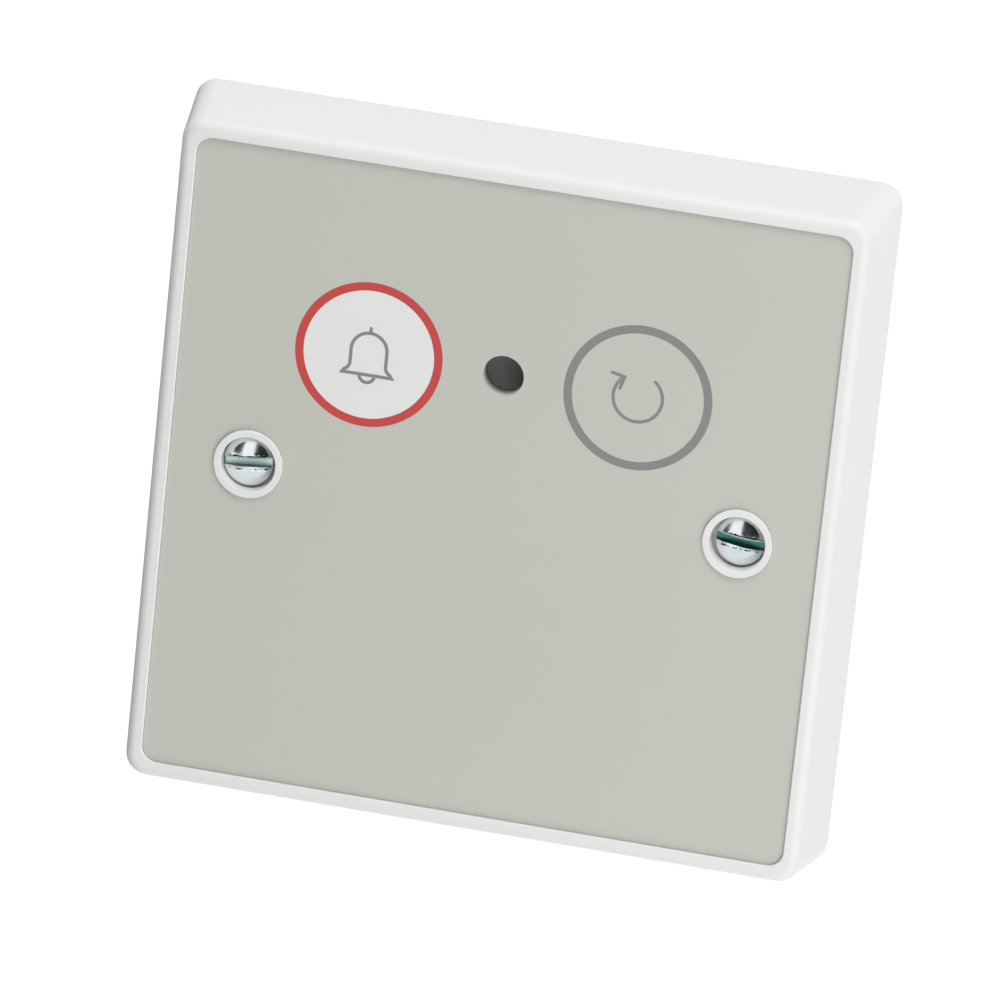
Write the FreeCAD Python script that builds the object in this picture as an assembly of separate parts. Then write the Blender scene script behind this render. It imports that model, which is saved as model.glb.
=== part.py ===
import FreeCAD, Part
import math
import os

from FreeCAD import Vector

os.makedirs("parts", exist_ok=True)

# An alert and reset point on a single wall plate.
# X runs to the right, Z up and Y into the wall. Y = 0 is the wall, and the front faces -Y.
# The origin lies midway between the two fixing screws. Lengths are in millimetres.

# Faceplate
plate_size = 87.0
plate_depth = 13.4
draft_angle = 6.8
side_wall = 2.0
front_wall = 2.5
corner_radius = 2.8
edge_radius = 1.3
rear_chamfer = 0.3
inner_corner_radius = 1.2
rim_chamfer = 0.12

# Printed label in its recess
rim_width = 1.96
label_corner_radius = 2.0
label_thickness = 0.3
label_depth = 0.4
label_gap = 0.03
label_hole_gap = 0.04

# Fixing screws, their collars and their bosses
fixing_pitch = 60.3
thread_diameter = 3.5
shank_diameter = 3.1
head_diameter = 6.1
head_rise = 0.85
head_sink = 1.4
slot_width = 1.0
slot_depth = 1.5
slot_turn_left = -5.5
slot_turn_right = 5.6
thread_start = 0.3
fixing_reach = 14.0
head_clearance = 0.35
thread_clearance = 0.35
seat_diameter = 4.8
seat_gap = 0.02
collar_wall = 0.88
collar_drop = 0.05
collar_chamfer = 0.08
boss_diameter = 8.4
boss_drop = 0.5
rib_thickness = 1.2
gusset_length = 5.0

# Sound port and the two finger keys
port_diameter = 5.0
control_x = -0.25
control_height = 16.1
key_offset = 16.5
key_diameter = 14.6
key_gap = 0.2
key_web = 1.2
key_skirt = 1.2
key_post_width = 4.0
key_rib = 0.8
key_travel = 0.25
flange_width = 0.9
flange_thickness = 1.0
lug_width = 3.0
guide_gap = 0.3
guide_wall = 1.0
guide_length = 2.2
guide_height = 1.6

# Circuit board on two pillars and two clips
board_standoff = 6.5
board_thickness = 1.6
board_width = 50.0
board_height = 64.0
board_corner_chamfer = 1.0
pillar_diameter = 5.5
pillar_spacing = 42.0
pillar_edge = 3.0
clip_spacing = 30.0
clip_width = 5.0
clip_wall = 1.4
clip_gap = 0.1
clip_side_gap = 0.3
clip_lip = 1.2
clip_lip_thickness = 1.0
pilot_gap = 0.05
pilot_depth = 5.6
board_screw_diameter = 2.2
board_screw_length = 6.6
board_hole_gap = 0.15
pan_diameter = 4.0
pan_height = 1.4
cross_width = 0.6
cross_length = 2.2
cross_depth = 0.8
pin_hole_gap = 0.05

# Tactile switches
switch_height = 5.0
switch_width = 6.0
switch_base_height = 3.2
switch_cover_thickness = 0.3
switch_corner = 0.5
plunger_diameter = 3.5
plunger_gap = 0.2
plunger_collar_width = 4.8
plunger_collar_thickness = 0.8
plunger_overtravel = 0.55
tab_width = 2.4
tab_length = 1.4
leg_spacing = 4.5
leg_width = 0.7
leg_thickness = 0.25
leg_reach = 1.5
leg_rise = 1.0

# Sounder, its gauze and the lamp
gauze_size = 9.0
gauze_corner = 1.5
gauze_thickness = 0.5
sounder_diameter = 12.0
sounder_hole_diameter = 2.0
sounder_hole_depth = 1.2
lamp_length = 3.5
lamp_width = 2.8
lamp_height = 1.9
lamp_bevel = 0.3
lamp_offset = 5.3

# Small components on the front of the board
chip_length = 4.9
chip_width = 3.9
chip_thickness = 1.5
chip_standoff = 0.1
chip_bevel = 0.25
chip_x = -7.0
chip_z = -8.0
chip_leads_each_side = 4
chip_lead_pitch = 1.27
chip_lead_width = 0.42
chip_lead_thickness = 0.2
chip_lead_reach = 1.05
capacitor_diameter = 6.3
capacitor_height = 5.4
capacitor_base = 6.6
capacitor_base_height = 1.2
capacitor_x = 12.0
capacitor_z = -7.0
diode_length = 4.3
diode_width = 2.6
diode_height = 2.2
diode_foot_width = 1.4
diode_foot_reach = 0.4
diode_foot_height = 1.1
diode_x = 12.0
diode_z = -25.0
transistor_length = 2.9
transistor_width = 1.3
transistor_height = 1.0
transistor_x = 0.0
transistor_z = 4.0
resistor_length = 2.0
resistor_width = 1.25
resistor_thickness = 0.5
resistor_count = 5
resistor_pitch = 3.0
resistor_x = -14.0
resistor_z = -26.0

# Wiring terminals on the back of the board
way_count = 3
way_pitch = 5.08
block_end_wall = 0.4
block_front = 4.0
block_back = 4.1
block_height = 11.5
block_slope_height = 3.0
block_slope_depth = 1.6
block_z = -19.0
mouth_width = 3.0
mouth_chamfer = 0.5
clamp_width = 3.9
clamp_depth = 3.5
clamp_floor = 0.8
clamp_window_height = 3.0
clamp_window_width = 2.7
clamp_nut_height = 1.4
clamp_chamfer = 0.3
clamp_start = 1.1
clamp_travel = 1.8
clamp_gap = 0.25
contact_width = 2.4
contact_thickness = 0.8
contact_gap = 0.1
contact_back = 3.3
contact_pin_reach = 1.0
terminal_thread_diameter = 2.5
terminal_thread_gap = 0.05
terminal_neck_gap = 0.2
terminal_neck_length = 0.7
terminal_head_diameter = 3.6
terminal_head_height = 1.4
terminal_head_gap = 0.3
terminal_slot_width = 0.6
terminal_slot_depth = 0.7

# Levels along Y, from the front to the back
rim_y = -plate_depth
label_y = rim_y + label_depth
recess_y = label_y + label_thickness
inner_y = recess_y + front_wall
board_front_y = inner_y + board_standoff
board_back_y = board_front_y + board_thickness
plunger_top_y = board_front_y - switch_height
flange_back_y = inner_y + flange_thickness
boss_end_y = -boss_drop
collar_top_y = rim_y + collar_drop
head_edge_y = collar_top_y + head_sink


def half_size(y, inset):
    """Half the width of the drafted plate at this Y, inset along the wall's normal."""
    draft = math.radians(draft_angle)
    return plate_size / 2 + y * math.tan(draft) - inset / math.cos(draft)


# Sizes, radii and places that several pieces share
label_size = 2 * (half_size(rim_y, 0) - rim_width)
past = 1.0
fixing_x = fixing_pitch / 2
head_bore_radius = head_diameter / 2 + head_clearance
collar_radius = head_bore_radius + collar_wall
key_hole_radius = key_diameter / 2 + key_gap
flange_radius = key_hole_radius + flange_width
alert_x = control_x - key_offset
reset_x = control_x + key_offset
pillar_z = board_height / 2 - pillar_edge
pillar_places = [(-pillar_spacing / 2, pillar_z), (pillar_spacing / 2, pillar_z)]
way_places = [(i - (way_count - 1) / 2) * way_pitch for i in range(way_count)]


def block(x0, x1, y0, y1, z0, z1):
    """A box between two corners."""
    return Part.makeBox(x1 - x0, y1 - y0, z1 - z0, Vector(x0, y0, z0))


def edges_along(shape, axis):
    """The straight edges of a shape that run along one axis."""
    found = []
    for edge in shape.Edges:
        ends = edge.Vertexes
        if len(ends) == 2 and abs(abs((ends[1].Point - ends[0].Point).normalize().dot(axis)) - 1) < 1e-6:
            found.append(edge)
    return found


def edges_on_level(shape, y):
    """The edges of a shape that lie wholly in the plane at this Y."""
    return [e for e in shape.Edges if abs(e.BoundBox.YMin - y) < 1e-4 and abs(e.BoundBox.YMax - y) < 1e-4]


def rounded_slab(width, height, y0, y1, radius, x=0.0, z=0.0):
    """A flat slab centred on (x, z), with its four upright corners rounded."""
    slab = block(x - width / 2, x + width / 2, y0, y1, z - height / 2, z + height / 2)
    return slab.makeFillet(radius, edges_along(slab, Vector(0, 1, 0)))


def cut_corner_slab(width, height, y0, y1, corner, x=0.0, z=0.0):
    """A flat slab centred on (x, z), with its four upright corners cut off."""
    slab = block(x - width / 2, x + width / 2, y0, y1, z - height / 2, z + height / 2)
    return slab.makeChamfer(corner, edges_along(slab, Vector(0, 1, 0)))


def rod(diameter, x, z, y0, y1):
    """A round bar along Y."""
    return Part.makeCylinder(diameter / 2, y1 - y0, Vector(x, y0, z), Vector(0, 1, 0))


def tube(outer, inner, x, z, y0, y1):
    """A round wall along Y."""
    return rod(outer, x, z, y0, y1).cut(rod(inner, x, z, y0 - past, y1 + past))


def cross(length, width, x, z, y0, y1):
    """Two bars that cross at right angles on the Y line through (x, z)."""
    sides = ((length / 2, width / 2), (width / 2, length / 2))
    return [block(x - a, x + a, y0, y1, z - b, z + b) for a, b in sides]


def turned(steps, x, z):
    """A solid turned about the Y line through (x, z), from steps of (radius, y)."""
    points = [Vector(x + r, y, z) for r, y in steps]
    wire = Part.makePolygon(points + points[:1])
    return Part.Face(wire).revolve(Vector(x, 0, z), Vector(0, 1, 0), 360)


def prism(outline, direction):
    """A solid pushed out from a closed flat outline."""
    return Part.Face(Part.makePolygon(outline + outline[:1])).extrude(direction)


def fused(shapes):
    """One clean solid from shapes that meet."""
    return shapes[0].multiFuse(shapes[1:]).removeSplitter()


def save(name, shape):
    """Write one piece, and say how large it is."""
    shape.exportStep("parts/%s.step" % name)
    facts = (name, len(shape.Solids), shape.Volume, shape.isValid())
    print("%-28s solids %d  volume %.2f mm3  valid %s" % facts)


def drafted_block(inset, y0, y1):
    """The plate's tapered block, inset from its sides."""
    front = half_size(y0, inset)
    back = half_size(y1, inset)
    return Part.makeWedge(-front, y0, -front, -back, -back, front, y1, front, back, back)


def upright_edges(shape):
    """The four slanting corner edges of a tapered block."""
    return [e for e in shape.Edges if e.BoundBox.YLength > shape.BoundBox.YLength / 2]


def plate_shell():
    """The open box of the faceplate: drafted, rounded, hollow, with the label's recess."""
    outer = drafted_block(0, rim_y, 0)
    outer = outer.makeFillet(corner_radius, upright_edges(outer))
    outer = outer.makeFillet(edge_radius, edges_on_level(outer, rim_y))
    outer = outer.makeChamfer(rear_chamfer, edges_on_level(outer, 0))
    recess_size = label_size + 2 * label_gap
    recess = rounded_slab(recess_size, recess_size, rim_y - past, recess_y, label_corner_radius + label_gap)
    shell = outer.cut(recess)
    reach = recess_size / 2 + rim_chamfer
    lip = [e for e in edges_on_level(shell, rim_y) if max(e.BoundBox.XMax, e.BoundBox.ZMax) < reach]
    shell = shell.makeChamfer(rim_chamfer, lip)
    hollow = drafted_block(side_wall, inner_y, past)
    return shell.cut(hollow.makeFillet(inner_corner_radius, upright_edges(hollow)))


def screw_collar(x):
    """The raised ring that a fixing screw's head sits down into."""
    ring = tube(2 * collar_radius, 2 * head_bore_radius, x, 0, collar_top_y, recess_y + past)
    return ring.makeChamfer(collar_chamfer, edges_on_level(ring, collar_top_y))


def screw_boss(x):
    """The boss behind a fixing screw, tied to the side wall and to the front by ribs."""
    side = math.copysign(1.0, x)
    boss = rod(boss_diameter, x, 0, recess_y + past, boss_end_y)
    ends = sorted([x, side * plate_size])
    tie = block(ends[0], ends[1], recess_y + past, boss_end_y, -rib_thickness / 2, rib_thickness / 2)
    gussets = []
    for up in (1, -1):
        root = Vector(x - rib_thickness / 2, recess_y + past, 0)
        reach = up * (boss_diameter / 2 + gusset_length)
        outline = [
            root,
            root + Vector(0, 0, reach),
            root + Vector(0, inner_y - recess_y - past, reach),
            root + Vector(0, boss_end_y - rib_thickness - recess_y - past, up * boss_diameter / 2),
            root + Vector(0, boss_end_y - rib_thickness - recess_y - past, 0),
        ]
        gussets.append(prism(outline, Vector(rib_thickness, 0, 0)))
    return [boss, tie] + gussets


def screw_hole(x):
    """The bore for the head, a ledge at its foot, the countersunk seat and the clearance hole."""
    hole_radius = thread_diameter / 2 + thread_clearance
    seat_y = head_edge_y + head_diameter / 2 + seat_gap * math.sqrt(2)
    return turned([
        (0, rim_y - past),
        (head_bore_radius, rim_y - past),
        (head_bore_radius, seat_y - seat_diameter / 2),
        (seat_diameter / 2, seat_y - seat_diameter / 2),
        (hole_radius, seat_y - hole_radius),
        (hole_radius, past),
        (0, past),
    ], x, 0)


def key_guides(x):
    """Four short ribs behind a key's hole, a pair beside its upper lug and a pair beside its lower one."""
    ribs = []
    root = key_hole_radius + guide_gap
    inner = lug_width / 2 + guide_gap
    for up in (1, -1):
        ends = sorted([control_height + up * root, control_height + up * (root + guide_length)])
        for start in (inner, -inner - guide_wall):
            ribs.append(block(x + start, x + start + guide_wall, inner_y - past, inner_y + guide_height,
                              ends[0], ends[1]))
    return ribs


def board_clips():
    """Two clips under the lower edge of the board, each a rest in front and a lip behind."""
    edge = -board_height / 2
    inside = edge - clip_side_gap
    outside = inside - clip_wall
    lip_y = board_back_y + clip_gap
    lip_end_y = lip_y + clip_lip_thickness
    clips = []
    for x in (-clip_spacing / 2, clip_spacing / 2):
        x0 = x - clip_width / 2
        x1 = x + clip_width / 2
        rest = block(x0, x1, inner_y - past, board_front_y, outside, edge + clip_lip)
        wall = block(x0, x1, board_front_y - past, lip_end_y, outside, inside)
        lip = block(x0, x1, lip_y, lip_end_y, outside, edge + clip_lip)
        clips += [rest, wall, lip]
    return clips


def make_faceplate():
    """The white moulding that carries everything else."""
    shell = plate_shell()
    inside = drafted_block(side_wall / 2, rim_y + label_depth, boss_end_y)
    inside = inside.makeFillet(corner_radius, upright_edges(inside))
    added = [shell] + board_clips()
    for x in (-fixing_x, fixing_x):
        added.append(screw_collar(x))
        added += [piece.common(inside) for piece in screw_boss(x)]
    for x in (alert_x, reset_x):
        added += key_guides(x)
    for x, z in pillar_places:
        added.append(rod(pillar_diameter, x, z, inner_y - past, board_front_y))
    plate = fused(added)
    pilot = board_screw_diameter + 2 * pilot_gap
    holes = [screw_hole(-fixing_x), screw_hole(fixing_x)]
    for x in (alert_x, reset_x):
        holes.append(rod(2 * key_hole_radius, x, control_height, rim_y, inner_y + past))
    holes.append(rod(port_diameter, control_x, control_height, rim_y, inner_y + past))
    for x, z in pillar_places:
        holes.append(rod(pilot, x, z, board_front_y - pilot_depth, board_front_y + past))
    return plate.cut(holes).removeSplitter()


def make_label():
    """The printed label: one sheet with holes for the collars and the port."""
    sheet = rounded_slab(label_size, label_size, label_y, recess_y, label_corner_radius)
    collar_hole = 2 * (collar_radius + label_hole_gap)
    holes = [rod(collar_hole, x, 0, label_y - past, recess_y + past) for x in (-fixing_x, fixing_x)]
    port_hole = port_diameter + label_hole_gap
    holes.append(rod(port_hole, control_x, control_height, label_y - past, recess_y + past))
    return sheet.cut(holes)


def make_fixing_screw(x, turn):
    """A slotted raised countersunk screw whose thread stands out of the wall plane."""
    head = head_diameter / 2
    shank = shank_diameter / 2
    thread = thread_diameter / 2
    top = head_edge_y - head_rise
    points = [
        (head, head_edge_y),
        (shank, head_edge_y + head - shank),
        (shank, -thread_start),
        (thread, -thread_start),
        (thread, fixing_reach),
        (0, fixing_reach),
        (0, top),
    ]
    corners = [Vector(x + r, y, 0) for r, y in points]
    dome_radius = (head ** 2 + head_rise ** 2) / (2 * head_rise)
    bend = math.asin(head / dome_radius) / 2
    middle = Vector(x + dome_radius * math.sin(bend), top + dome_radius * (1 - math.cos(bend)), 0)
    dome = Part.Arc(corners[-1], middle, corners[0]).toShape()
    profile = Part.Face(Part.Wire([Part.makePolygon(corners), dome]))
    screw = profile.revolve(Vector(x, 0, 0), Vector(0, 1, 0), 360)
    half = slot_width / 2
    slot = block(x - head_diameter, x + head_diameter, top - past, top + slot_depth, -half, half)
    slot.rotate(Vector(x, 0, 0), Vector(0, 1, 0), turn)
    return screw.cut(slot)


def make_key(x):
    """A finger key: a thin cup with four lugs behind the plate, crossed ribs and a crossed post."""
    bore = key_diameter - 2 * key_skirt
    web_y = recess_y + key_web
    cup = [rod(key_diameter, x, control_height, recess_y, flange_back_y)]
    cup += cross(2 * flange_radius, lug_width, x, control_height, inner_y, flange_back_y)
    key = fused(cup).cut(rod(bore, x, control_height, web_y, flange_back_y + past))
    ribs = cross(bore + key_skirt, key_rib, x, control_height, web_y - key_web / 2, inner_y)
    post = cross(key_post_width, key_rib, x, control_height, web_y - key_web / 2, plunger_top_y)
    return fused([key] + ribs + post)


def make_switch_base(x):
    """The square body of a tactile switch, with the pocket that its plunger slides in."""
    top = board_front_y - switch_base_height
    base = cut_corner_slab(switch_width, switch_width, top, board_front_y, switch_corner, x, control_height)
    reach = plunger_collar_width / 2 + plunger_gap
    floor = top + plunger_collar_thickness + key_travel + plunger_overtravel
    return base.cut(block(x - reach, x + reach, top - past, floor,
                          control_height - reach, control_height + reach))


def make_switch_cover(x):
    """The thin steel plate on top of a tactile switch, with two tabs folded down its sides."""
    back = board_front_y - switch_base_height
    front = back - switch_cover_thickness
    edge = switch_width / 2
    plate = cut_corner_slab(switch_width, switch_width, front, back, switch_corner, x, control_height)
    tabs = []
    for side in (1, -1):
        near = control_height + side * edge
        ends = sorted([near, near + side * switch_cover_thickness])
        tabs.append(block(x - tab_width / 2, x + tab_width / 2, front, back + tab_length, ends[0], ends[1]))
    hole = rod(plunger_diameter + 2 * plunger_gap, x, control_height, front - past, back + past)
    return fused([plate] + tabs).cut(hole)


def make_switch_plunger(x):
    """The round plunger, kept in by a square collar under the cover."""
    back = board_front_y - switch_base_height
    reach = plunger_collar_width / 2
    stem = rod(plunger_diameter, x, control_height, plunger_top_y, back)
    collar = block(x - reach, x + reach, back, back + plunger_collar_thickness,
                   control_height - reach, control_height + reach)
    return fused([stem, collar])


def gull_wing(start, rise, reach, thickness, width, turn, x, z):
    """A lead that leaves a component's side, bends down to the board and ends in a flat foot."""
    knee = start + reach / 2
    outline = [
        (start, rise),
        (knee, rise),
        (knee, thickness),
        (start + reach, thickness),
        (start + reach, 0),
        (knee - thickness, 0),
        (knee - thickness, rise - thickness),
        (start, rise - thickness),
    ]
    lead = prism([Vector(u, board_front_y - v, -width / 2) for u, v in outline], Vector(0, 0, width))
    lead.rotate(Vector(0, 0, 0), Vector(0, 1, 0), turn)
    lead.translate(Vector(x, 0, z))
    return lead


def make_switch_legs(x):
    """The four legs of a tactile switch, soldered to the board."""
    legs = []
    for turn in (0, 180):
        for z in (-leg_spacing / 2, leg_spacing / 2):
            legs.append(gull_wing(switch_width / 2, leg_rise, leg_reach, leg_thickness, leg_width,
                                  turn, x, control_height + z))
    return Part.makeCompound(legs)


def make_circuit_board():
    """The board, with holes for its screws and for the pins of the terminals."""
    board = cut_corner_slab(board_width, board_height, board_front_y, board_back_y, board_corner_chamfer)
    screw_hole_size = board_screw_diameter + 2 * board_hole_gap
    pin = contact_thickness / 2 + pin_hole_gap
    pin_z = block_z + contact_back - contact_thickness / 2
    front = board_front_y - past
    back = board_back_y + past
    holes = [rod(screw_hole_size, x, z, front, back) for x, z in pillar_places]
    holes += [block(x - pin, x + pin, front, back, pin_z - pin, pin_z + pin) for x in way_places]
    return board.cut(holes)


def make_board_screw(x, z):
    """A small cross recess screw, cutting its thread in a pillar."""
    top = board_back_y + pan_height
    head = rod(pan_diameter, x, z, board_back_y, top)
    shank = rod(board_screw_diameter, x, z, board_back_y - board_screw_length, board_back_y)
    return fused([head, shank]).cut(cross(cross_length, cross_width, x, z, top - cross_depth, top + past))


def make_gauze():
    """The thin black cloth that closes the port from behind."""
    return cut_corner_slab(gauze_size, gauze_size, inner_y, inner_y + gauze_thickness, gauze_corner,
                           control_x, control_height)


def make_sounder():
    """The round transducer between the board and the gauze, with its sound hole."""
    top = inner_y + gauze_thickness
    case = rod(sounder_diameter, control_x, control_height, top, board_front_y)
    hole = rod(sounder_hole_diameter, control_x, control_height, top - past, top + sounder_hole_depth)
    return case.cut(hole)


def make_lamp():
    """The flat lamp on the board behind the alert key, bevelled round its window."""
    top = board_front_y - lamp_height
    low = Vector(alert_x - lamp_length / 2, top, control_height - lamp_offset - lamp_width / 2)
    case = Part.makeBox(lamp_length, lamp_height, lamp_width, low)
    return case.makeChamfer(lamp_bevel, edges_on_level(case, top))


def make_chip_body():
    """The controller's moulded case."""
    back = board_front_y - chip_standoff
    case = block(chip_x - chip_length / 2, chip_x + chip_length / 2, back - chip_thickness, back,
                 chip_z - chip_width / 2, chip_z + chip_width / 2)
    return case.makeChamfer(chip_bevel, edges_on_level(case, back - chip_thickness))


def make_chip_leads():
    """The controller's two rows of leads."""
    leads = []
    first = -(chip_leads_each_side - 1) / 2 * chip_lead_pitch
    for turn in (90, 270):
        for i in range(chip_leads_each_side):
            leads.append(gull_wing(chip_width / 2, chip_thickness / 2, chip_lead_reach, chip_lead_thickness,
                                   chip_lead_width, turn, chip_x + first + i * chip_lead_pitch, chip_z))
    return Part.makeCompound(leads)


def make_capacitor():
    """A smoothing capacitor: a round can on a square base with two cut corners."""
    back = board_front_y
    reach = capacitor_base / 2
    base = block(capacitor_x - reach, capacitor_x + reach, back - capacitor_base_height, back,
                 capacitor_z - reach, capacitor_z + reach)
    marked = [e for e in edges_along(base, Vector(0, 1, 0)) if e.BoundBox.XMax < capacitor_x]
    base = base.makeChamfer(capacitor_base_height, marked)
    can = rod(capacitor_diameter, capacitor_x, capacitor_z, back - capacitor_height, back)
    return fused([base, can])


def make_diode():
    """The diode that guards the supply against reversed wires, with a foot at each end."""
    top = board_front_y - diode_height
    end = diode_length / 2
    side = diode_width / 2
    body = block(diode_x - end, diode_x + end, top, board_front_y, diode_z - side, diode_z + side)
    body = body.makeChamfer(chip_lead_thickness, edges_on_level(body, top))
    reach = end + diode_foot_reach
    feet = block(diode_x - reach, diode_x + reach, board_front_y - diode_foot_height, board_front_y,
                 diode_z - diode_foot_width / 2, diode_z + diode_foot_width / 2)
    return fused([body, feet])


def make_transistor():
    """The transistor that drives the sounder, with its three leads."""
    back = board_front_y
    end = transistor_length / 2
    side = transistor_width / 2
    body = block(transistor_x - end, transistor_x + end, back - transistor_height, back,
                 transistor_z - side, transistor_z + side)
    rise = transistor_height / 2
    reach = chip_lead_reach / 2
    leads = []
    for turn, x in ((90, 0.0), (270, -transistor_length / 3), (270, transistor_length / 3)):
        leads.append(gull_wing(side - chip_standoff, rise, reach, chip_lead_thickness / 2, chip_lead_width,
                               turn, transistor_x + x, transistor_z))
    return fused([body] + leads)


def make_resistors():
    """A row of chip resistors."""
    chips = []
    for i in range(resistor_count):
        x = resistor_x + i * resistor_pitch
        chips.append(block(x - resistor_width / 2, x + resistor_width / 2,
                           board_front_y - resistor_thickness, board_front_y,
                           resistor_z - resistor_length / 2, resistor_z + resistor_length / 2))
    return Part.makeCompound(chips)


# Heights above the back of the board inside a terminal
clamp_height = clamp_floor + clamp_window_height + clamp_nut_height
contact_top = clamp_start + clamp_floor + clamp_window_height - contact_gap
cavity_top = clamp_start + clamp_height + clamp_travel + contact_gap
shoulder = cavity_top + terminal_neck_length


def level(height):
    """The Y of a height above the back of the board."""
    return board_back_y + height


def make_terminal_block():
    """The insulating block: for each way a wire mouth, a clamp cavity, a neck and a screw well."""
    half = way_count * way_pitch / 2 + block_end_wall
    near = block_z - block_front
    far = block_z + block_back
    outline = [
        Vector(-half, level(0), near),
        Vector(-half, level(block_height - block_slope_height), near),
        Vector(-half, level(block_height), near + block_slope_depth),
        Vector(-half, level(block_height), far),
        Vector(-half, level(0), far),
    ]
    body = prism(outline, Vector(2 * half, 0, 0))
    cavity_x = clamp_width / 2 + clamp_gap
    cavity_z = clamp_depth / 2 + clamp_gap
    contact_bottom = contact_top - contact_thickness
    pin = contact_thickness / 2
    neck = terminal_thread_diameter / 2 + terminal_neck_gap
    for x in way_places:
        mouth = block(x - mouth_width / 2, x + mouth_width / 2, level(clamp_start + clamp_floor),
                      level(contact_bottom), near - past, block_z)
        body = body.cut(mouth)
    lips = []
    for edge in body.Edges:
        box = edge.BoundBox
        on_face = abs(box.ZMin - near) < 1e-4 and abs(box.ZMax - near) < 1e-4
        if on_face and box.YMin > level(clamp_start) and box.YMax < level(contact_top):
            lips.append(edge)
    body = body.makeChamfer(mouth_chamfer, lips)
    cuts = []
    for x in way_places:
        cuts.append(block(x - cavity_x, x + cavity_x, level(clamp_start - contact_gap), level(cavity_top),
                          block_z - cavity_z, block_z + cavity_z))
        cuts.append(block(x - neck, x + neck, level(cavity_top - past), level(shoulder + past),
                          block_z - neck, block_z + neck))
        cuts.append(rod(terminal_head_diameter + 2 * terminal_head_gap, x, block_z,
                        level(shoulder), level(block_height + past)))
        cuts.append(block(x - contact_width / 2, x + contact_width / 2,
                          level(contact_bottom), level(contact_top), block_z, block_z + contact_back))
        cuts.append(block(x - pin, x + pin, level(-past), level(contact_top),
                          block_z + contact_back - contact_thickness, block_z + contact_back))
    return body.cut(cuts).removeSplitter()


def make_terminal_contact(x):
    """The fixed bar that a wire is squeezed against, bent down into the board as a pin."""
    contact_bottom = contact_top - contact_thickness
    bar = block(x - contact_width / 2, x + contact_width / 2, level(contact_bottom), level(contact_top),
                block_z - clamp_depth / 2, block_z + contact_back)
    pin = block(x - contact_thickness / 2, x + contact_thickness / 2,
                board_front_y - contact_pin_reach, level(contact_top),
                block_z + contact_back - contact_thickness, block_z + contact_back)
    return fused([bar, pin])


def make_terminal_clamp(x):
    """The rising clamp: a cage with a window for the wire and a threaded head."""
    low = level(clamp_start)
    cage = block(x - clamp_width / 2, x + clamp_width / 2, low, low + clamp_height,
                 block_z - clamp_depth / 2, block_z + clamp_depth / 2)
    cage = cage.makeChamfer(clamp_chamfer, edges_along(cage, Vector(0, 0, 1)))
    window = block(x - clamp_window_width / 2, x + clamp_window_width / 2,
                   low + clamp_floor, low + clamp_floor + clamp_window_height,
                   block_z - clamp_depth, block_z + clamp_depth)
    thread = rod(terminal_thread_diameter + 2 * terminal_thread_gap, x, block_z,
                 low + clamp_floor + clamp_window_height - past, low + clamp_height + past)
    return cage.cut([window, thread])


def make_terminal_screw(x):
    """A slotted screw that turns on its shoulder and draws the clamp up its thread."""
    head = terminal_head_diameter / 2
    thread = terminal_thread_diameter / 2
    top = level(shoulder + terminal_head_height)
    screw = turned([
        (0, level(contact_top)),
        (thread, level(contact_top)),
        (thread, level(shoulder)),
        (head, level(shoulder)),
        (head, top),
        (0, top),
    ], x, block_z)
    slot = block(x - head - past, x + head + past, top - terminal_slot_depth, top + past,
                 block_z - terminal_slot_width / 2, block_z + terminal_slot_width / 2)
    return screw.cut(slot)


save("faceplate", make_faceplate())
save("overlay_film", make_label())
save("fixing_screw_left", make_fixing_screw(-fixing_x, slot_turn_left))
save("fixing_screw_right", make_fixing_screw(fixing_x, slot_turn_right))
save("port_gauze", make_gauze())
save("sounder", make_sounder())
save("circuit_board", make_circuit_board())
for number, (place_x, place_z) in enumerate(pillar_places, 1):
    save("board_screw_%d" % number, make_board_screw(place_x, place_z))
for name, place_x in (("alert", alert_x), ("reset", reset_x)):
    save(name + "_key", make_key(place_x))
    save(name + "_switch_base", make_switch_base(place_x))
    save(name + "_switch_cover", make_switch_cover(place_x))
    save(name + "_switch_plunger", make_switch_plunger(place_x))
    save(name + "_switch_legs", make_switch_legs(place_x))
save("alert_lamp", make_lamp())
save("controller_chip", make_chip_body())
save("controller_leads", make_chip_leads())
save("smoothing_capacitor", make_capacitor())
save("polarity_diode", make_diode())
save("sounder_transistor", make_transistor())
save("chip_resistors", make_resistors())
save("terminal_block", make_terminal_block())
for number, place_x in enumerate(way_places, 1):
    save("terminal_contact_%d" % number, make_terminal_contact(place_x))
    save("terminal_clamp_%d" % number, make_terminal_clamp(place_x))
    save("terminal_screw_%d" % number, make_terminal_screw(place_x))
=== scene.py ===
import math

import bmesh
import bpy
from mathutils import Matrix, Vector, noise


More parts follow.
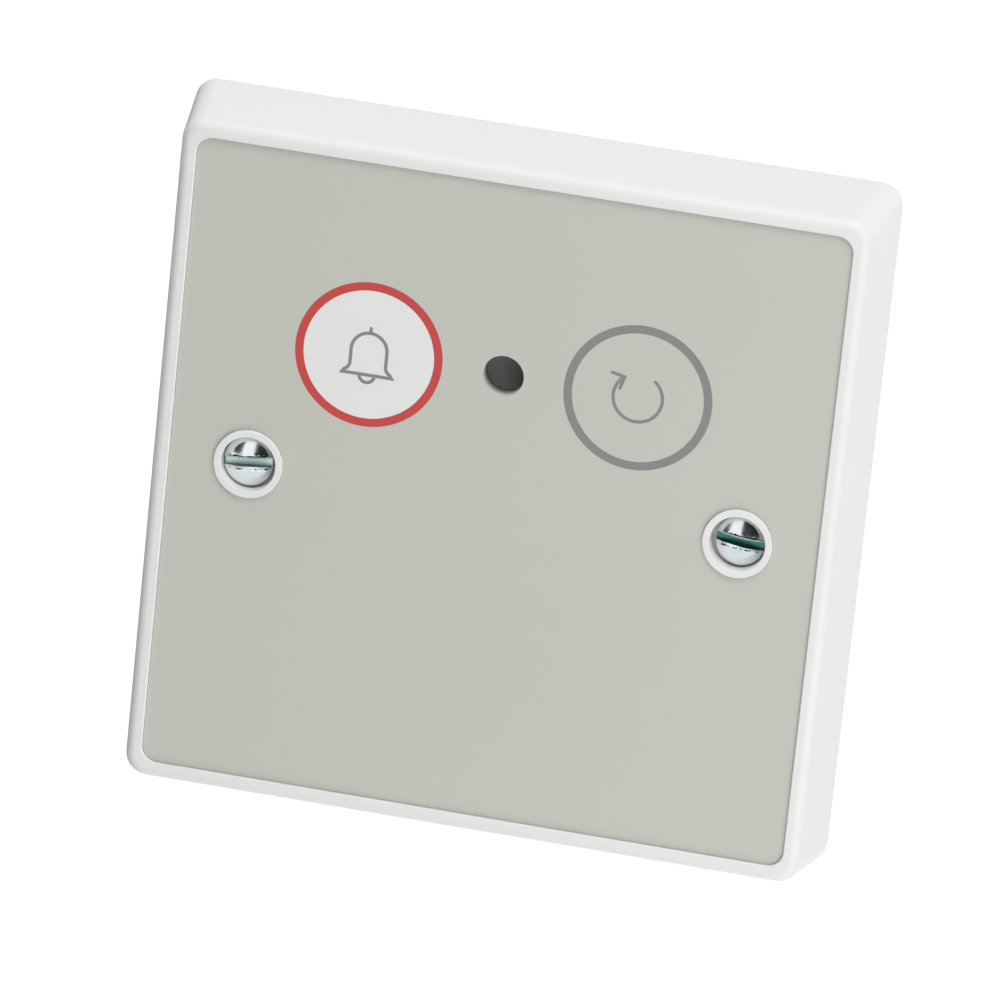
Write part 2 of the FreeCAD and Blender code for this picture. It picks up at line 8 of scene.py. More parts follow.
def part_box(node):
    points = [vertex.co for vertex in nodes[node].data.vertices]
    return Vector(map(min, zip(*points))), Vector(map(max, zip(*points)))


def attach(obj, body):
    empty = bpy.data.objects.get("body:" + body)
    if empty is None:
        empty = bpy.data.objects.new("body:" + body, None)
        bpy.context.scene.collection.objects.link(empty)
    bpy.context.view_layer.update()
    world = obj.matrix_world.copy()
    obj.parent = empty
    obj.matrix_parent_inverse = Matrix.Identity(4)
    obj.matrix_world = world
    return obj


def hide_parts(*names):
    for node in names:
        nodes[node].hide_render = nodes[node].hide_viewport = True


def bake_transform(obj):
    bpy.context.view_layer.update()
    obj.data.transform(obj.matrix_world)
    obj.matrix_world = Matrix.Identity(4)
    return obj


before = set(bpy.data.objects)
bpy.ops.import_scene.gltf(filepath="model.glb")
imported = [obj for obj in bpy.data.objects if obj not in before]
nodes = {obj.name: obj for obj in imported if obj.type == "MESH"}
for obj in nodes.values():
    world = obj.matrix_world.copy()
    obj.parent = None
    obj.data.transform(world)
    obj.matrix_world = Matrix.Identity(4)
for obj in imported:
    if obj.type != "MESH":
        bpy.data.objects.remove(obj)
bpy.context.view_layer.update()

# Looks for an alert and reset wall plate. Blender's metres, +Z up, the front faces -Y.
# Sizes in the dictionaries are in millimetres, and newPiece() turns them to metres.
mm = 0.001


def nodeBox(name):
    low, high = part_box(name)
    return low / mm, high / mm


def nodeCentre(name):
    low, high = nodeBox(name)
    return (low + high) / 2


# Levels and places shared by several pieces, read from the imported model
filmLow, filmHigh = nodeBox("overlay_film")
filmFront = filmLow.y
filmBack = filmHigh.y
boardFront = nodeBox("circuit_board")[0].y
boardBack = nodeBox("circuit_board")[1].y
plateInside = nodeBox("port_gauze")[0].y
port = nodeCentre("sounder")
keyCentres = {"alert": nodeCentre("alert_key"), "reset": nodeCentre("reset_key")}
boreCentres = {"left": nodeCentre("fixing_screw_left"), "right": nodeCentre("fixing_screw_right")}
headShifts = {"left": (-0.2, -0.04), "right": (0.2, 0.04)}      # each head's play in its bore, X and Z


# Camera, from the photograph's own perspective

cameraView = {
    "eye": (184.08, -1048.84, 361.39),
    "aim": (0.96, -13.0, 0.60),
    "roll": 5.969,          # degrees, clockwise seen from behind the camera
    "lens": 333.79,
    "sensor": 36,
    "nearest": 0.05,        # metres
    "farthest": 50,
}


def addCamera(view):
    data = bpy.data.cameras.new("photoCamera")
    data.lens = view["lens"]
    data.sensor_width = view["sensor"]
    data.clip_start = view["nearest"]
    data.clip_end = view["farthest"]
    camera = bpy.data.objects.new("photoCamera", data)
    bpy.context.scene.collection.objects.link(camera)
    eye = Vector(view["eye"]) * mm
    toObject = Vector(view["aim"]) * mm - eye
    level = toObject.to_track_quat("-Z", "Y").to_matrix()
    turned = level @ Matrix.Rotation(math.radians(view["roll"]), 3, "Z")
    camera.matrix_world = Matrix.Translation(eye) @ turned.to_4x4()
    bpy.context.scene.camera = camera


addCamera(cameraView)
print("camera set")


# Material helpers

def hexColour(code):
    # sRGB hex to the linear colour that the shader wants
    channels = [int(code[i:i + 2], 16) / 255 for i in (1, 3, 5)]
    linear = [c / 12.92 if c <= 0.04045 else ((c + 0.055) / 1.055) ** 2.4 for c in channels]
    return (*linear, 1.0)


def addNode(tree, kind, links=None, **settings):
    # one shader node: a link where the value is a socket, and a plain value elsewhere
    node = tree.nodes.new(kind)
    for key, value in settings.items():
        setattr(node, key, value)
    for key, value in (links or {}).items():
        if isinstance(value, bpy.types.NodeSocket):
            tree.links.new(value, node.inputs[key])
        else:
            node.inputs[key].default_value = value
    return node


def patternScale(size):
    # noise scale for features this many millimetres across
    return 1 / (size * mm)


def waveScale(spacing):
    # scale of the wave texture for bands this many millimetres apart
    return patternScale(spacing) / (2 * math.pi)


def emptyMaterial(name):
    material = bpy.data.materials.new(name)
    material.use_nodes = True
    material.node_tree.nodes.clear()
    return material, material.node_tree


def startMaterial(name):
    material, tree = emptyMaterial(name)
    place = addNode(tree, "ShaderNodeTexCoord").outputs["Object"]
    return material, tree, place


def endMaterial(tree, surface):
    shader = addNode(tree, "ShaderNodeBsdfPrincipled", surface)
    addNode(tree, "ShaderNodeOutputMaterial", {"Surface": shader.outputs["BSDF"]})


def awayFromAxis(tree, place, x, z):
    # distance in metres from a line along Y through this X and Z
    flat = addNode(tree, "ShaderNodeVectorMath", {0: place, 1: (1, 0, 1)}, operation="MULTIPLY").outputs[0]
    ends = {0: flat, 1: (x * mm, 0, z * mm)}
    return addNode(tree, "ShaderNodeVectorMath", ends, operation="DISTANCE").outputs["Value"]


def tintedWithin(tree, colour, away, radius, shares, tint):
    # the colour under a tint, which lies within this radius only and there by the shares, multiplied
    within = {0: away, 1: radius * mm}
    share = addNode(tree, "ShaderNodeMath", within, operation="LESS_THAN").outputs[0]
    for factor in shares:
        share = addNode(tree, "ShaderNodeMath", {0: share, 1: factor}, operation="MULTIPLY").outputs[0]
    mixed = {0: share, 6: colour, 7: hexColour(tint)}
    return addNode(tree, "ShaderNodeMix", mixed, data_type="RGBA").outputs[2]


# painted shade deep in the holes of the plate, a darker tint in the plate's colour that is darkest at their
# feet. For each hole:
# its middle, its radius, and the levels of Y where the painted shade starts, is darkest and ends
paintedHoleShade = {
    "colour": "#4E4B46",
    "holes": (
        (boreCentres["left"], 3.42, -12.6, -9.0, -8.8),
        (boreCentres["right"], 3.42, -12.6, -9.0, -8.8),
        (port, 2.55, -13.4, -9.9, -10.1),       # this one ends before its darkest level
    ),
}


def shadeDeepInHoles(tree, place, clean):
    level = addNode(tree, "ShaderNodeSeparateXYZ", {"Vector": place}).outputs["Y"]
    colour = clean
    for middle, radius, start, thickest, end in paintedHoleShade["holes"]:
        away = awayFromAxis(tree, place, middle.x, middle.z)
        ahead = addNode(tree, "ShaderNodeMath", {0: level, 1: end * mm}, operation="LESS_THAN").outputs[0]
        depth = {"Value": level, "From Min": start * mm, "From Max": thickest * mm}
        depth = addNode(tree, "ShaderNodeMapRange", depth, interpolation_type="SMOOTHSTEP").outputs["Result"]
        colour = tintedWithin(tree, colour, away, radius, (ahead, depth), paintedHoleShade["colour"])
    return colour


# painted shade towards the rims of the two heads, in their upper halves, standing in for the shadowed bore
# wall mirrored there
paintedRimShade = {
    "colour": "#C8D6D0",
    "reach": 4.0,           # nothing farther out than this is on a head
    "outward": (2.1, 3.1),  # distances from the head's middle over which it sets in
    "upward": (-1.2, 0.6),  # levels of Z over which it sets in
}


def shadeHeadRims(tree, place, clean):
    low, high = paintedRimShade["upward"]
    level = addNode(tree, "ShaderNodeSeparateXYZ", {"Vector": place}).outputs["Z"]
    upward = {"Value": level, "From Min": low * mm, "From Max": high * mm}
    upward = addNode(tree, "ShaderNodeMapRange", upward, interpolation_type="SMOOTHSTEP").outputs["Result"]
    start, end = paintedRimShade["outward"]
    colour = clean
    for side, (shiftX, shiftZ) in headShifts.items():
        away = awayFromAxis(tree, place, boreCentres[side].x + shiftX, boreCentres[side].z + shiftZ)
        ramp = {"Value": away, "From Min": start * mm, "From Max": end * mm}
        ramp = addNode(tree, "ShaderNodeMapRange", ramp, interpolation_type="SMOOTHSTEP").outputs["Result"]
        colour = tintedWithin(tree, colour, away, paintedRimShade["reach"], (ramp, upward), paintedRimShade["colour"])
    return colour


noiseSpan = {"From Min": 0.3, "From Max": 0.7}      # nearly all values of a noise texture lie between these


# Plastics and inks from a mould or a screen: an even colour that drifts a little, an orange peel with a
# fine grain on it, and a gloss that follows the peel

plasticSkin = {
    "drift": 14,            # size of the clouds in the colour
    "glossSpread": 0.03,
    "grainFiner": 5,        # the grain is so many times finer than the peel
    "grainShallower": 6,
}


def mouldedPlastic(name, look):
    material, tree, place = startMaterial(name)
    cloud = {"Vector": place, "Scale": patternScale(plasticSkin["drift"]), "Detail": 3.0}
    cloud = addNode(tree, "ShaderNodeTexNoise", cloud).outputs["Fac"]
    peel = {"Vector": place, "Scale": patternScale(look["peel"]), "Detail": 3.0}
    peel = addNode(tree, "ShaderNodeTexNoise", peel).outputs["Fac"]
    grain = {"Vector": place, "Scale": patternScale(look["peel"] / plasticSkin["grainFiner"]), "Detail": 1.0}
    grain = addNode(tree, "ShaderNodeTexNoise", grain).outputs["Fac"]
    tint = {0: cloud, 6: hexColour(look["dark"]), 7: hexColour(look["light"])}
    clean = addNode(tree, "ShaderNodeMix", tint, data_type="RGBA").outputs[2]
    gloss = {"Value": peel, **noiseSpan, "To Min": look["roughness"] - plasticSkin["glossSpread"],
             "To Max": look["roughness"] + plasticSkin["glossSpread"]}
    wave = addNode(tree, "ShaderNodeBump", {"Height": peel, "Distance": look["peelDepth"] * mm})
    fine = {"Height": grain, "Distance": look["peelDepth"] / plasticSkin["grainShallower"] * mm,
            "Normal": wave.outputs["Normal"]}
    endMaterial(tree, {
        # base colour, with painted shade deep in the holes where the look asks for it
        "Base Color": shadeDeepInHoles(tree, place, clean) if look.get("shadedHoles") else clean,
        "Roughness": addNode(tree, "ShaderNodeMapRange", gloss).outputs["Result"],
        "IOR": look["ior"],
        "Normal": addNode(tree, "ShaderNodeBump", fine).outputs["Normal"],
    })
    return material


# ABS moulded in a finely eroded tool: an even white with a satin gloss. Its orange peel of about 0.3 mm is
# too fine to show, and is drawn at 0.9 mm
mouldedAbs = mouldedPlastic("mouldedAbs", {
    "dark": "#E8E8E7", "light": "#EBEBEA", "roughness": 0.40, "ior": 1.53, "peel": 0.9, "peelDepth": 0.004,
    # painted shade deep in the two screw bores and the sound port
    "shadedHoles": True,
})
# polycarbonate moulded in a plain tool: a clean white, a shade warmer and duller than the plate
keyPolycarbonate = mouldedPlastic("keyPolycarbonate", {
    "dark": "#E9E9E6", "light": "#F0F0EE", "roughness": 0.45, "ior": 1.58, "peel": 0.6, "peelDepth": 0.003,
})
# glass-filled nylon, moulded: a dull black with a fine uneven grain where the fibres reach the skin
blackNylon = mouldedPlastic("blackNylon", {
    "dark": "#1B1B1C", "light": "#242425", "roughness": 0.5, "ior": 1.53, "peel": 0.3, "peelDepth": 0.006,
})
# polyamide, dyed and moulded: the usual green of a terminal block, with a soft gloss
greenPolyamide = mouldedPlastic("greenPolyamide", {
    "dark": "#1E7A3C", "light": "#248646", "roughness": 0.42, "ior": 1.53, "peel": 0.5, "peelDepth": 0.005,
})
# filled epoxy, moulded round the chip in a sanded tool: nearly black and quite matt
mouldedEpoxy = mouldedPlastic("mouldedEpoxy", {
    "dark": "#1D1D1F", "light": "#28282A", "roughness": 0.62, "ior": 1.55, "peel": 0.12, "peelDepth": 0.006,
})
# clear resin cast over a phosphor: pale yellow and smooth
lampResin = mouldedPlastic("lampResin", {
    "dark": "#E9E4CB", "light": "#F3EFDC", "roughness": 0.25, "ior": 1.5, "peel": 0.4, "peelDepth": 0.002,
})
# solder resist flowed over copper: a lighter green than over the bare board, glossy and gently wavy
resistOnCopper = mouldedPlastic("resistOnCopper", {
    "dark": "#2A7A45", "light": "#31834D", "roughness": 0.28, "ior": 1.5, "peel": 1.4, "peelDepth": 0.004,
})
# epoxy ink, screened on the board: off-white, matt and a little ragged
markingInk = mouldedPlastic("markingInk", {
    "dark": "#DADBD6", "light": "#E6E7E2", "roughness": 0.6, "ior": 1.5, "peel": 0.25, "peelDepth": 0.008,
})


# Polyester film with a velvet face, screen printed on its back: the inks are quite flat and even, and a
# very fine tooth spreads the light to a soft sheen. The tooth of 0.03 mm is drawn at 0.12 mm, to show

filmSkin = {
    "drift": 22,
    "tooth": 0.12,
    "toothDepth": 0.0015,
    "roughness": 0.5,
    "glossSpread": 0.04,
    "ior": 1.57,
}


def printedPolyester(name, look):
    material, tree, place = startMaterial(name)
    cloud = {"Vector": place, "Scale": patternScale(filmSkin["drift"]), "Detail": 2.0}
    cloud = addNode(tree, "ShaderNodeTexNoise", cloud).outputs["Fac"]
    tooth = {"Vector": place, "Scale": patternScale(filmSkin["tooth"]), "Detail": 2.0}
    tooth = addNode(tree, "ShaderNodeTexNoise", tooth).outputs["Fac"]
    tint = {0: cloud, 6: hexColour(look["dark"]), 7: hexColour(look["light"])}
    gloss = {"Value": tooth, **noiseSpan, "To Min": filmSkin["roughness"] - filmSkin["glossSpread"],
             "To Max": filmSkin["roughness"] + filmSkin["glossSpread"]}
    velvet = {"Height": tooth, "Distance": filmSkin["toothDepth"] * mm}
    endMaterial(tree, {
        "Base Color": addNode(tree, "ShaderNodeMix", tint, data_type="RGBA").outputs[2],
        "Roughness": addNode(tree, "ShaderNodeMapRange", gloss).outputs["Result"],
        "IOR": filmSkin["ior"],
        "Normal": addNode(tree, "ShaderNodeBump", velvet).outputs["Normal"],
    })
    return material


# grey-green ink behind the velvet face: the label's quiet ground
filmGreyGreen = printedPolyester("filmGreyGreen", {"dark": "#C3C5BB", "light": "#C6C8BE"})
# white ink: the alert field, as bright as the plate's moulding
inkWhite = printedPolyester("inkWhite", {"dark": "#E8E8E7", "light": "#EAEAE9"})
# red ink, softened by the velvet face in front of it: the alert ring
inkRed = printedPolyester("inkRed", {"dark": "#C24341", "light": "#C54644"})
# mid grey ink: the reset ring and both symbols
inkGrey = printedPolyester("inkGrey", {"dark": "#848483", "light": "#888887"})


# Plated and drawn metals: a soft mirror, finely mottled by the metal under the plating, with patches of more
# and less gloss, and with drag lines where the sheet was rolled

platedSkin = {
    "patchWider": 4,        # the patches are so many times wider than the mottle
    "glossLess": 0.05,
    "glossMore": 0.06,
    "dragLength": 0.9,
    "dragNarrower": 18,     # the drag lines are so many times narrower than long
}


def platedMetal(name, look):
    material, tree, place = startMaterial(name)
    patch = {"Vector": place, "Scale": patternScale(look["mottle"] * platedSkin["patchWider"]), "Detail": 3.0}
    patch = addNode(tree, "ShaderNodeTexNoise", patch).outputs["Fac"]
    skin = {"Vector": place, "Scale": patternScale(look["mottle"]), "Detail": 4.0, "Roughness": 0.6}
    skin = addNode(tree, "ShaderNodeTexNoise", skin).outputs["Fac"]
    normal = addNode(tree, "ShaderNodeBump", {"Height": skin, "Distance": look["mottleDepth"] * mm})
    if "dragDepth" in look:
        drag = {"Vector": place, "Scale": (1.0, 1.0, platedSkin["dragNarrower"])}
        drag = addNode(tree, "ShaderNodeMapping", drag).outputs["Vector"]
        lines = {"Vector": drag, "Scale": patternScale(platedSkin["dragLength"]), "Detail": 2.0}
        lines = addNode(tree, "ShaderNodeTexNoise", lines).outputs["Fac"]
        scratched = {"Height": lines, "Distance": look["dragDepth"] * mm, "Normal": normal.outputs["Normal"]}
        normal = addNode(tree, "ShaderNodeBump", scratched)
    tint = {0: patch, 6: hexColour(look["dark"]), 7: hexColour(look["light"])}
    clean = addNode(tree, "ShaderNodeMix", tint, data_type="RGBA").outputs[2]
    gloss = {"Value": patch, **noiseSpan, "To Min": look["roughness"] - platedSkin["glossLess"],
             "To Max": look["roughness"] + platedSkin["glossMore"]}
    endMaterial(tree, {
        "Base Color": shadeHeadRims(tree, place, clean) if look.get("rimShaded") else clean,
        "Metallic": 1.0,
        "Roughness": addNode(tree, "ShaderNodeMapRange", gloss).outputs["Result"],
        "Normal": normal.outputs["Normal"],
    })
    return material


# zinc plated steel, blue passivated: a bright, slightly cold mirror that shows the studio's cards
zincPassivate = platedMetal("zincPassivate", {
    "dark": "#E6EEF0", "light": "#F6F9FA", "roughness": 0.15, "mottle": 0.35, "mottleDepth": 0.004,
    # painted shade near the rims, in the upper halves of the two heads
    "rimShaded": True,
})
# the same plating on the sawn walls of a slot, where the passivation pools: a deep blue-green, darkened
# further as painted shade
zincSlotShaded = platedMetal("zincSlotShaded", {
    "dark": "#356E66", "light": "#4C857D", "roughness": 0.3, "mottle": 0.3, "mottleDepth": 0.010,
})
# the same plating on a sawn floor that faces the light: painted pale as a lit copy of the plating, and dull
# from the saw
zincSlotLit = platedMetal("zincSlotLit", {
    "dark": "#D2EFEC", "light": "#E6FAF8", "roughness": 0.55, "mottle": 0.3, "mottleDepth": 0.008,
})
# painted shadow in the crease beside the rolled lip: nearly black, broken marks
zincCreaseShadow = platedMetal("zincCreaseShadow", {
    "dark": "#111516", "light": "#303636", "roughness": 0.4, "mottle": 0.2, "mottleDepth": 0.010,
})
# zinc plated steel, thread rolled: a greyer plating, which is thin on the flanks. The same grey on the head's
# edge, cone and shank is painted shade in the gap beside the head
zincThreadAndShade = platedMetal("zincThreadAndShade", {
    "dark": "#9DA6A8", "light": "#B9C1C3", "roughness": 0.3, "mottle": 0.3, "mottleDepth": 0.006,
})
# zinc plated steel, headed and barrel plated: a mid grey with a soft mirror
zincSteel = platedMetal("zincSteel", {
    "dark": "#AAADAD", "light": "#C6C9C9", "roughness": 0.26, "mottle": 0.4, "mottleDepth": 0.005,
})
# tinned steel sheet, rolled and stamped: a warm light grey with drag lines
tinnedSheet = platedMetal("tinnedSheet", {
    "dark": "#C4C5C2", "light": "#D4D5D2", "roughness": 0.3, "mottle": 0.5, "mottleDepth": 0.003,
    "dragDepth": 0.004,
})
# tinned copper alloy, stamped: a light grey, finely mottled
tinnedCopper = platedMetal("tinnedCopper", {
    "dark": "#C6C6C2", "light": "#D6D6D3", "roughness": 0.3, "mottle": 0.3, "mottleDepth": 0.006,
})
# tin solder, reflowed: a brighter mirror over a darker grey
tinSolder = platedMetal("tinSolder", {
    "dark": "#A6A8A9", "light": "#C2C4C5", "roughness": 0.24, "mottle": 0.5, "mottleDepth": 0.006,
})
# tinned brass, stamped: the brass lends the tin a little yellow
tinnedBrass = platedMetal("tinnedBrass", {
    "dark": "#C9C4B4", "light": "#D6D2C4", "roughness": 0.28, "mottle": 0.4, "mottleDepth": 0.004,
})
# nickel plated brass, milled: a warm grey and a fairly sharp mirror
nickelBrass = platedMetal("nickelBrass", {
    "dark": "#C8C3B6", "light": "#D8D4C8", "roughness": 0.22, "mottle": 0.4, "mottleDepth": 0.003,
})


def wovenCloth(name, look):
    # a plain weave of two sets of threads at right angles
    material, tree, place = startMaterial(name)
    weave = {"Vector": place, "Scale": waveScale(look["spacing"])}
    warp = addNode(tree, "ShaderNodeTexWave", weave, bands_direction="X").outputs["Fac"]
    weft = addNode(tree, "ShaderNodeTexWave", weave, bands_direction="Z").outputs["Fac"]
    threads = addNode(tree, "ShaderNodeMath", {0: warp, 1: weft}, operation="MAXIMUM").outputs[0]
    tint = {0: threads, 6: hexColour(look["gap"]), 7: hexColour(look["thread"])}
    relief = {"Height": threads, "Distance": look["relief"] * mm}
    endMaterial(tree, {
        "Base Color": addNode(tree, "ShaderNodeMix", tint, data_type="RGBA").outputs[2],
        "Roughness": look["roughness"],
        "IOR": look["ior"],
        "Sheen Weight": look["sheen"],
        "Normal": addNode(tree, "ShaderNodeBump", relief).outputs["Normal"],
    })
    return material


# polyester acoustic cloth, woven: dull, slightly hairy and dark in its hole. Threads 0.1 mm apart are drawn
# 0.16 mm apart, to show
acousticCloth = wovenCloth("acousticCloth", {
    "thread": "#7C7E7D", "gap": "#6C6E6D", "spacing": 0.16, "relief": 0.04, "roughness": 0.85, "ior": 1.5,
    "sheen": 0.2,
})


def fibreLaminate(name, look):
    # the faces show the resist over the weave, and the sawn edges show the layers
    material, tree, place = startMaterial(name)
    facing = addNode(tree, "ShaderNodeNewGeometry").outputs["Normal"]
    across = addNode(tree, "ShaderNodeSeparateXYZ", {"Vector": facing}).outputs["Y"]
    upright = addNode(tree, "ShaderNodeMath", {0: across}, operation="ABSOLUTE").outputs[0]
    onFace = addNode(tree, "ShaderNodeMath", {0: upright, 1: 0.5}, operation="GREATER_THAN").outputs[0]
    weave = {"Vector": place, "Scale": waveScale(look["weave"]), "Distortion": look["wander"]}
    warp = addNode(tree, "ShaderNodeTexWave", weave, bands_direction="X").outputs["Fac"]
    weft = addNode(tree, "ShaderNodeTexWave", weave, bands_direction="Z").outputs["Fac"]
    glass = addNode(tree, "ShaderNodeMath", {0: warp, 1: weft}, operation="MULTIPLY").outputs[0]
    layers = {"Vector": place, "Scale": waveScale(look["layer"])}
    layers = addNode(tree, "ShaderNodeTexWave", layers, bands_direction="Y").outputs["Fac"]
    faceTint = {0: glass, 6: hexColour(look["resistDark"]), 7: hexColour(look["resistLight"])}
    edgeTint = {0: layers, 6: hexColour(look["edgeDark"]), 7: hexColour(look["edgeLight"])}
    both = {
        0: onFace,
        6: addNode(tree, "ShaderNodeMix", edgeTint, data_type="RGBA").outputs[2],
        7: addNode(tree, "ShaderNodeMix", faceTint, data_type="RGBA").outputs[2],
    }
    gloss = {"Value": onFace, "To Min": look["edgeRoughness"], "To Max": look["faceRoughness"]}
    relief = {"Height": glass, "Distance": look["relief"] * mm}
    endMaterial(tree, {
        "Base Color": addNode(tree, "ShaderNodeMix", both, data_type="RGBA").outputs[2],
        "Roughness": addNode(tree, "ShaderNodeMapRange", gloss).outputs[0],
        "IOR": look["ior"],
        "Normal": addNode(tree, "ShaderNodeBump", relief).outputs[0],
    })
    return material


# glass epoxy board under solder resist, sawn: glossy dark green with the weave just showing, and dull
# straw-coloured edges in layers. Yarns 0.6 mm apart are drawn 1.1 mm apart, to show
resistOnLaminate = fibreLaminate("resistOnLaminate", {
    "resistDark": "#14502B", "resistLight": "#1A5E34", "edgeDark": "#B9AE78", "edgeLight": "#D9D2A4",
    "weave": 1.1, "wander": 0.6, "layer": 0.2, "relief": 0.012, "edgeRoughness": 0.75, "faceRoughness": 0.28,
    "ior": 1.5,
})


# Small components of two finishes that meet at a line. The near finish lies within reach of the start of the
# node's box or of its middle, along one axis, and the far finish lies beyond it

componentSkin = {"grain": 0.2, "grainDepth": 0.004}
blackBody = {"colour": "#222224", "metallic": 0.0, "roughness": 0.55}
tinnedEnd = {"colour": "#CDCECC", "metallic": 1.0, "roughness": 0.3}
drawnCan = {"colour": "#D2D4D6", "metallic": 1.0, "roughness": 0.27}


def twoFinishes(name, look):
    material, tree, place = startMaterial(name)
    low, high = nodeBox(look["node"])
    meeting = {"start": low, "middle": (low + high) / 2}[look["from"]]["XYZ".index(look["axis"])]
    along = addNode(tree, "ShaderNodeSeparateXYZ", {"Vector": place}).outputs[look["axis"]]
    away = addNode(tree, "ShaderNodeMath", {0: along, 1: meeting * mm}, operation="SUBTRACT").outputs[0]
    away = addNode(tree, "ShaderNodeMath", {0: away}, operation="ABSOLUTE").outputs[0]
    beyond = {0: away, 1: look["reach"] * mm}
    beyond = addNode(tree, "ShaderNodeMath", beyond, operation="GREATER_THAN").outputs[0]
    grain = {"Vector": place, "Scale": patternScale(componentSkin["grain"]), "Detail": 2.0}
    grain = addNode(tree, "ShaderNodeTexNoise", grain).outputs["Fac"]
    near = look["near"]
    far = look["far"]
    tint = {0: beyond, 6: hexColour(near["colour"]), 7: hexColour(far["colour"])}
    metal = {"Value": beyond, "To Min": near["metallic"], "To Max": far["metallic"]}
    gloss = {"Value": beyond, "To Min": near["roughness"], "To Max": far["roughness"]}
    relief = {"Height": grain, "Distance": componentSkin["grainDepth"] * mm}
    endMaterial(tree, {
        "Base Color": addNode(tree, "ShaderNodeMix", tint, data_type="RGBA").outputs[2],
        "Metallic": addNode(tree, "ShaderNodeMapRange", metal).outputs[0],
        "Roughness": addNode(tree, "ShaderNodeMapRange", gloss).outputs[0],
        "Normal": addNode(tree, "ShaderNodeBump", relief).outputs[0],
    })
    return material


# chip resistors: black glaze fired on ceramic, between dipped tin ends
glazedChip = twoFinishes("glazedChip", {
    "node": "chip_resistors", "axis": "Z", "from": "middle", "reach": 0.62, "near": blackBody,
    "far": tinnedEnd,
})
# a capacitor: a bright drawn aluminium can on a black moulded base
canOnBase = twoFinishes("canOnBase", {
    "node": "smoothing_capacitor", "axis": "Y", "from": "start", "reach": 4.2, "near": drawnCan,
    "far": blackBody,
})
# a diode: a black moulded body between bent tinned feet
diodeWithFeet = twoFinishes("diodeWithFeet", {
    "node": "polarity_diode", "axis": "X", "from": "middle", "reach": 2.15, "near": blackBody,
    "far": tinnedEnd,
})
# a transistor: the same black body with three small tinned leads
transistorWithLeads = twoFinishes("transistorWithLeads", {
    "node": "sounder_transistor", "axis": "Z", "from": "middle", "reach": 0.65, "near": blackBody,
    "far": tinnedEnd,
})
print("materials ready")


# Mesh helpers

meshing = {
    "joinWithin": 1e-8,     # metres, for corners that faces share
    "sharpFrom": 35,        # degrees between two faces
    "capSteps": 8,          # facets in the round end of a stroke
    "mitreLimit": 0.4,      # keeps the corner of a sharp bend from running out
    "nothing": 1e-9,
}


def newPiece(name, points, faces, materials, faceKinds=None, sharpFrom=meshing["sharpFrom"]):
    mesh = bpy.data.meshes.new(name)
    mesh.from_pydata([Vector(p) * mm for p in points], [], faces)
    for material in materials:
        mesh.materials.append(material)
    if faceKinds:
        mesh.polygons.foreach_set("material_index", faceKinds)
    mesh.polygons.foreach_set("use_smooth", [True] * len(mesh.polygons))
    outward = bmesh.new()
    outward.from_mesh(mesh)
    bmesh.ops.remove_doubles(outward, verts=outward.verts[:], dist=meshing["joinWithin"])
    bmesh.ops.recalc_face_normals(outward, faces=outward.faces[:])
    outward.to_mesh(mesh)
    outward.free()
    mesh.set_sharp_from_angle(angle=math.radians(sharpFrom))
    mesh.validate()
    piece = bpy.data.objects.new(name, mesh)
    bpy.context.scene.collection.objects.link(piece)
    return piece


def circle(x, z, radius, count):
    turns = [2 * math.pi * i / count for i in range(count)]
    return [(x + radius * math.cos(a), z + radius * math.sin(a)) for a in turns]


def arc(x, z, radius, start, end, steps):
    turns = [math.radians(start + (end - start) * i / steps) for i in range(steps + 1)]
    return [(x + radius * math.cos(a), z + radius * math.sin(a)) for a in turns]


def roundedOutline(x, z, width, height, radius, steps):
    # a rounded rectangle as one closed loop, anticlockwise in X and Z
    corners = ((1, 1, 0), (-1, 1, 90), (-1, -1, 180), (1, -1, 270))
    points = []
    for signX, signZ, start in corners:
        centreX = x + signX * (width / 2 - radius)
        centreZ = z + signZ * (height / 2 - radius)
        points += arc(centreX, centreZ, radius, start, start + 90, steps)
    return points


def bridge(first, second):
    # quads between two closed rings of vertex numbers
    count = len(first)
    return [(first[i], first[(i + 1) % count], second[(i + 1) % count], second[i]) for i in range(count)]


def addRing(points, corners):
    # adds these corners, and gives back their vertex numbers
    start = len(points)
    points += corners
    return list(range(start, len(points)))


def closedBar(rings):
    # faces between the rings of a bar, and its two ends
    faces = []
    for ring, nextRing in zip(rings, rings[1:]):
        faces += bridge(ring, nextRing)
    return faces + [tuple(rings[0]), tuple(rings[-1])]


def withoutRepeats(corners):
    kept = []
    for corner in corners:
        if corner not in kept:
            kept.append(corner)
    return tuple(kept)


def fillFlat(loops):
    # triangles between an outline and its holes, as vertex numbers counted through the loops
    flat = bmesh.new()
    for loop in loops:
        ring = [flat.verts.new((x, z, 0)) for x, z in loop]
        for i, corner in enumerate(ring):
            flat.edges.new((corner, ring[(i + 1) % len(ring)]))
    flat.verts.index_update()
    bmesh.ops.triangle_fill(flat, use_beauty=True, use_dissolve=False, edges=flat.edges[:])
    faces = [tuple(corner.index for corner in face.verts) for face in flat.faces]
    flat.free()
    return faces


def addRaised(points, faces, loops, front, back):
    # adds a flat shape with upright sides between two levels of Y. Its first loop is the outline
    start = len(points)
    total = sum(len(loop) for loop in loops)
    for y in (front, back):
        points += [(u, y, v) for loop in loops for u, v in loop]
    flat = fillFlat(loops)
    faces += [tuple(start + i for i in face) for face in flat]
    faces += [tuple(start + total + i for i in face) for face in flat]
    counted = start
    for loop in loops:
        upper = [counted + i for i in range(len(loop))]
        counted += len(loop)
        faces += bridge(upper, [i + total for i in upper])


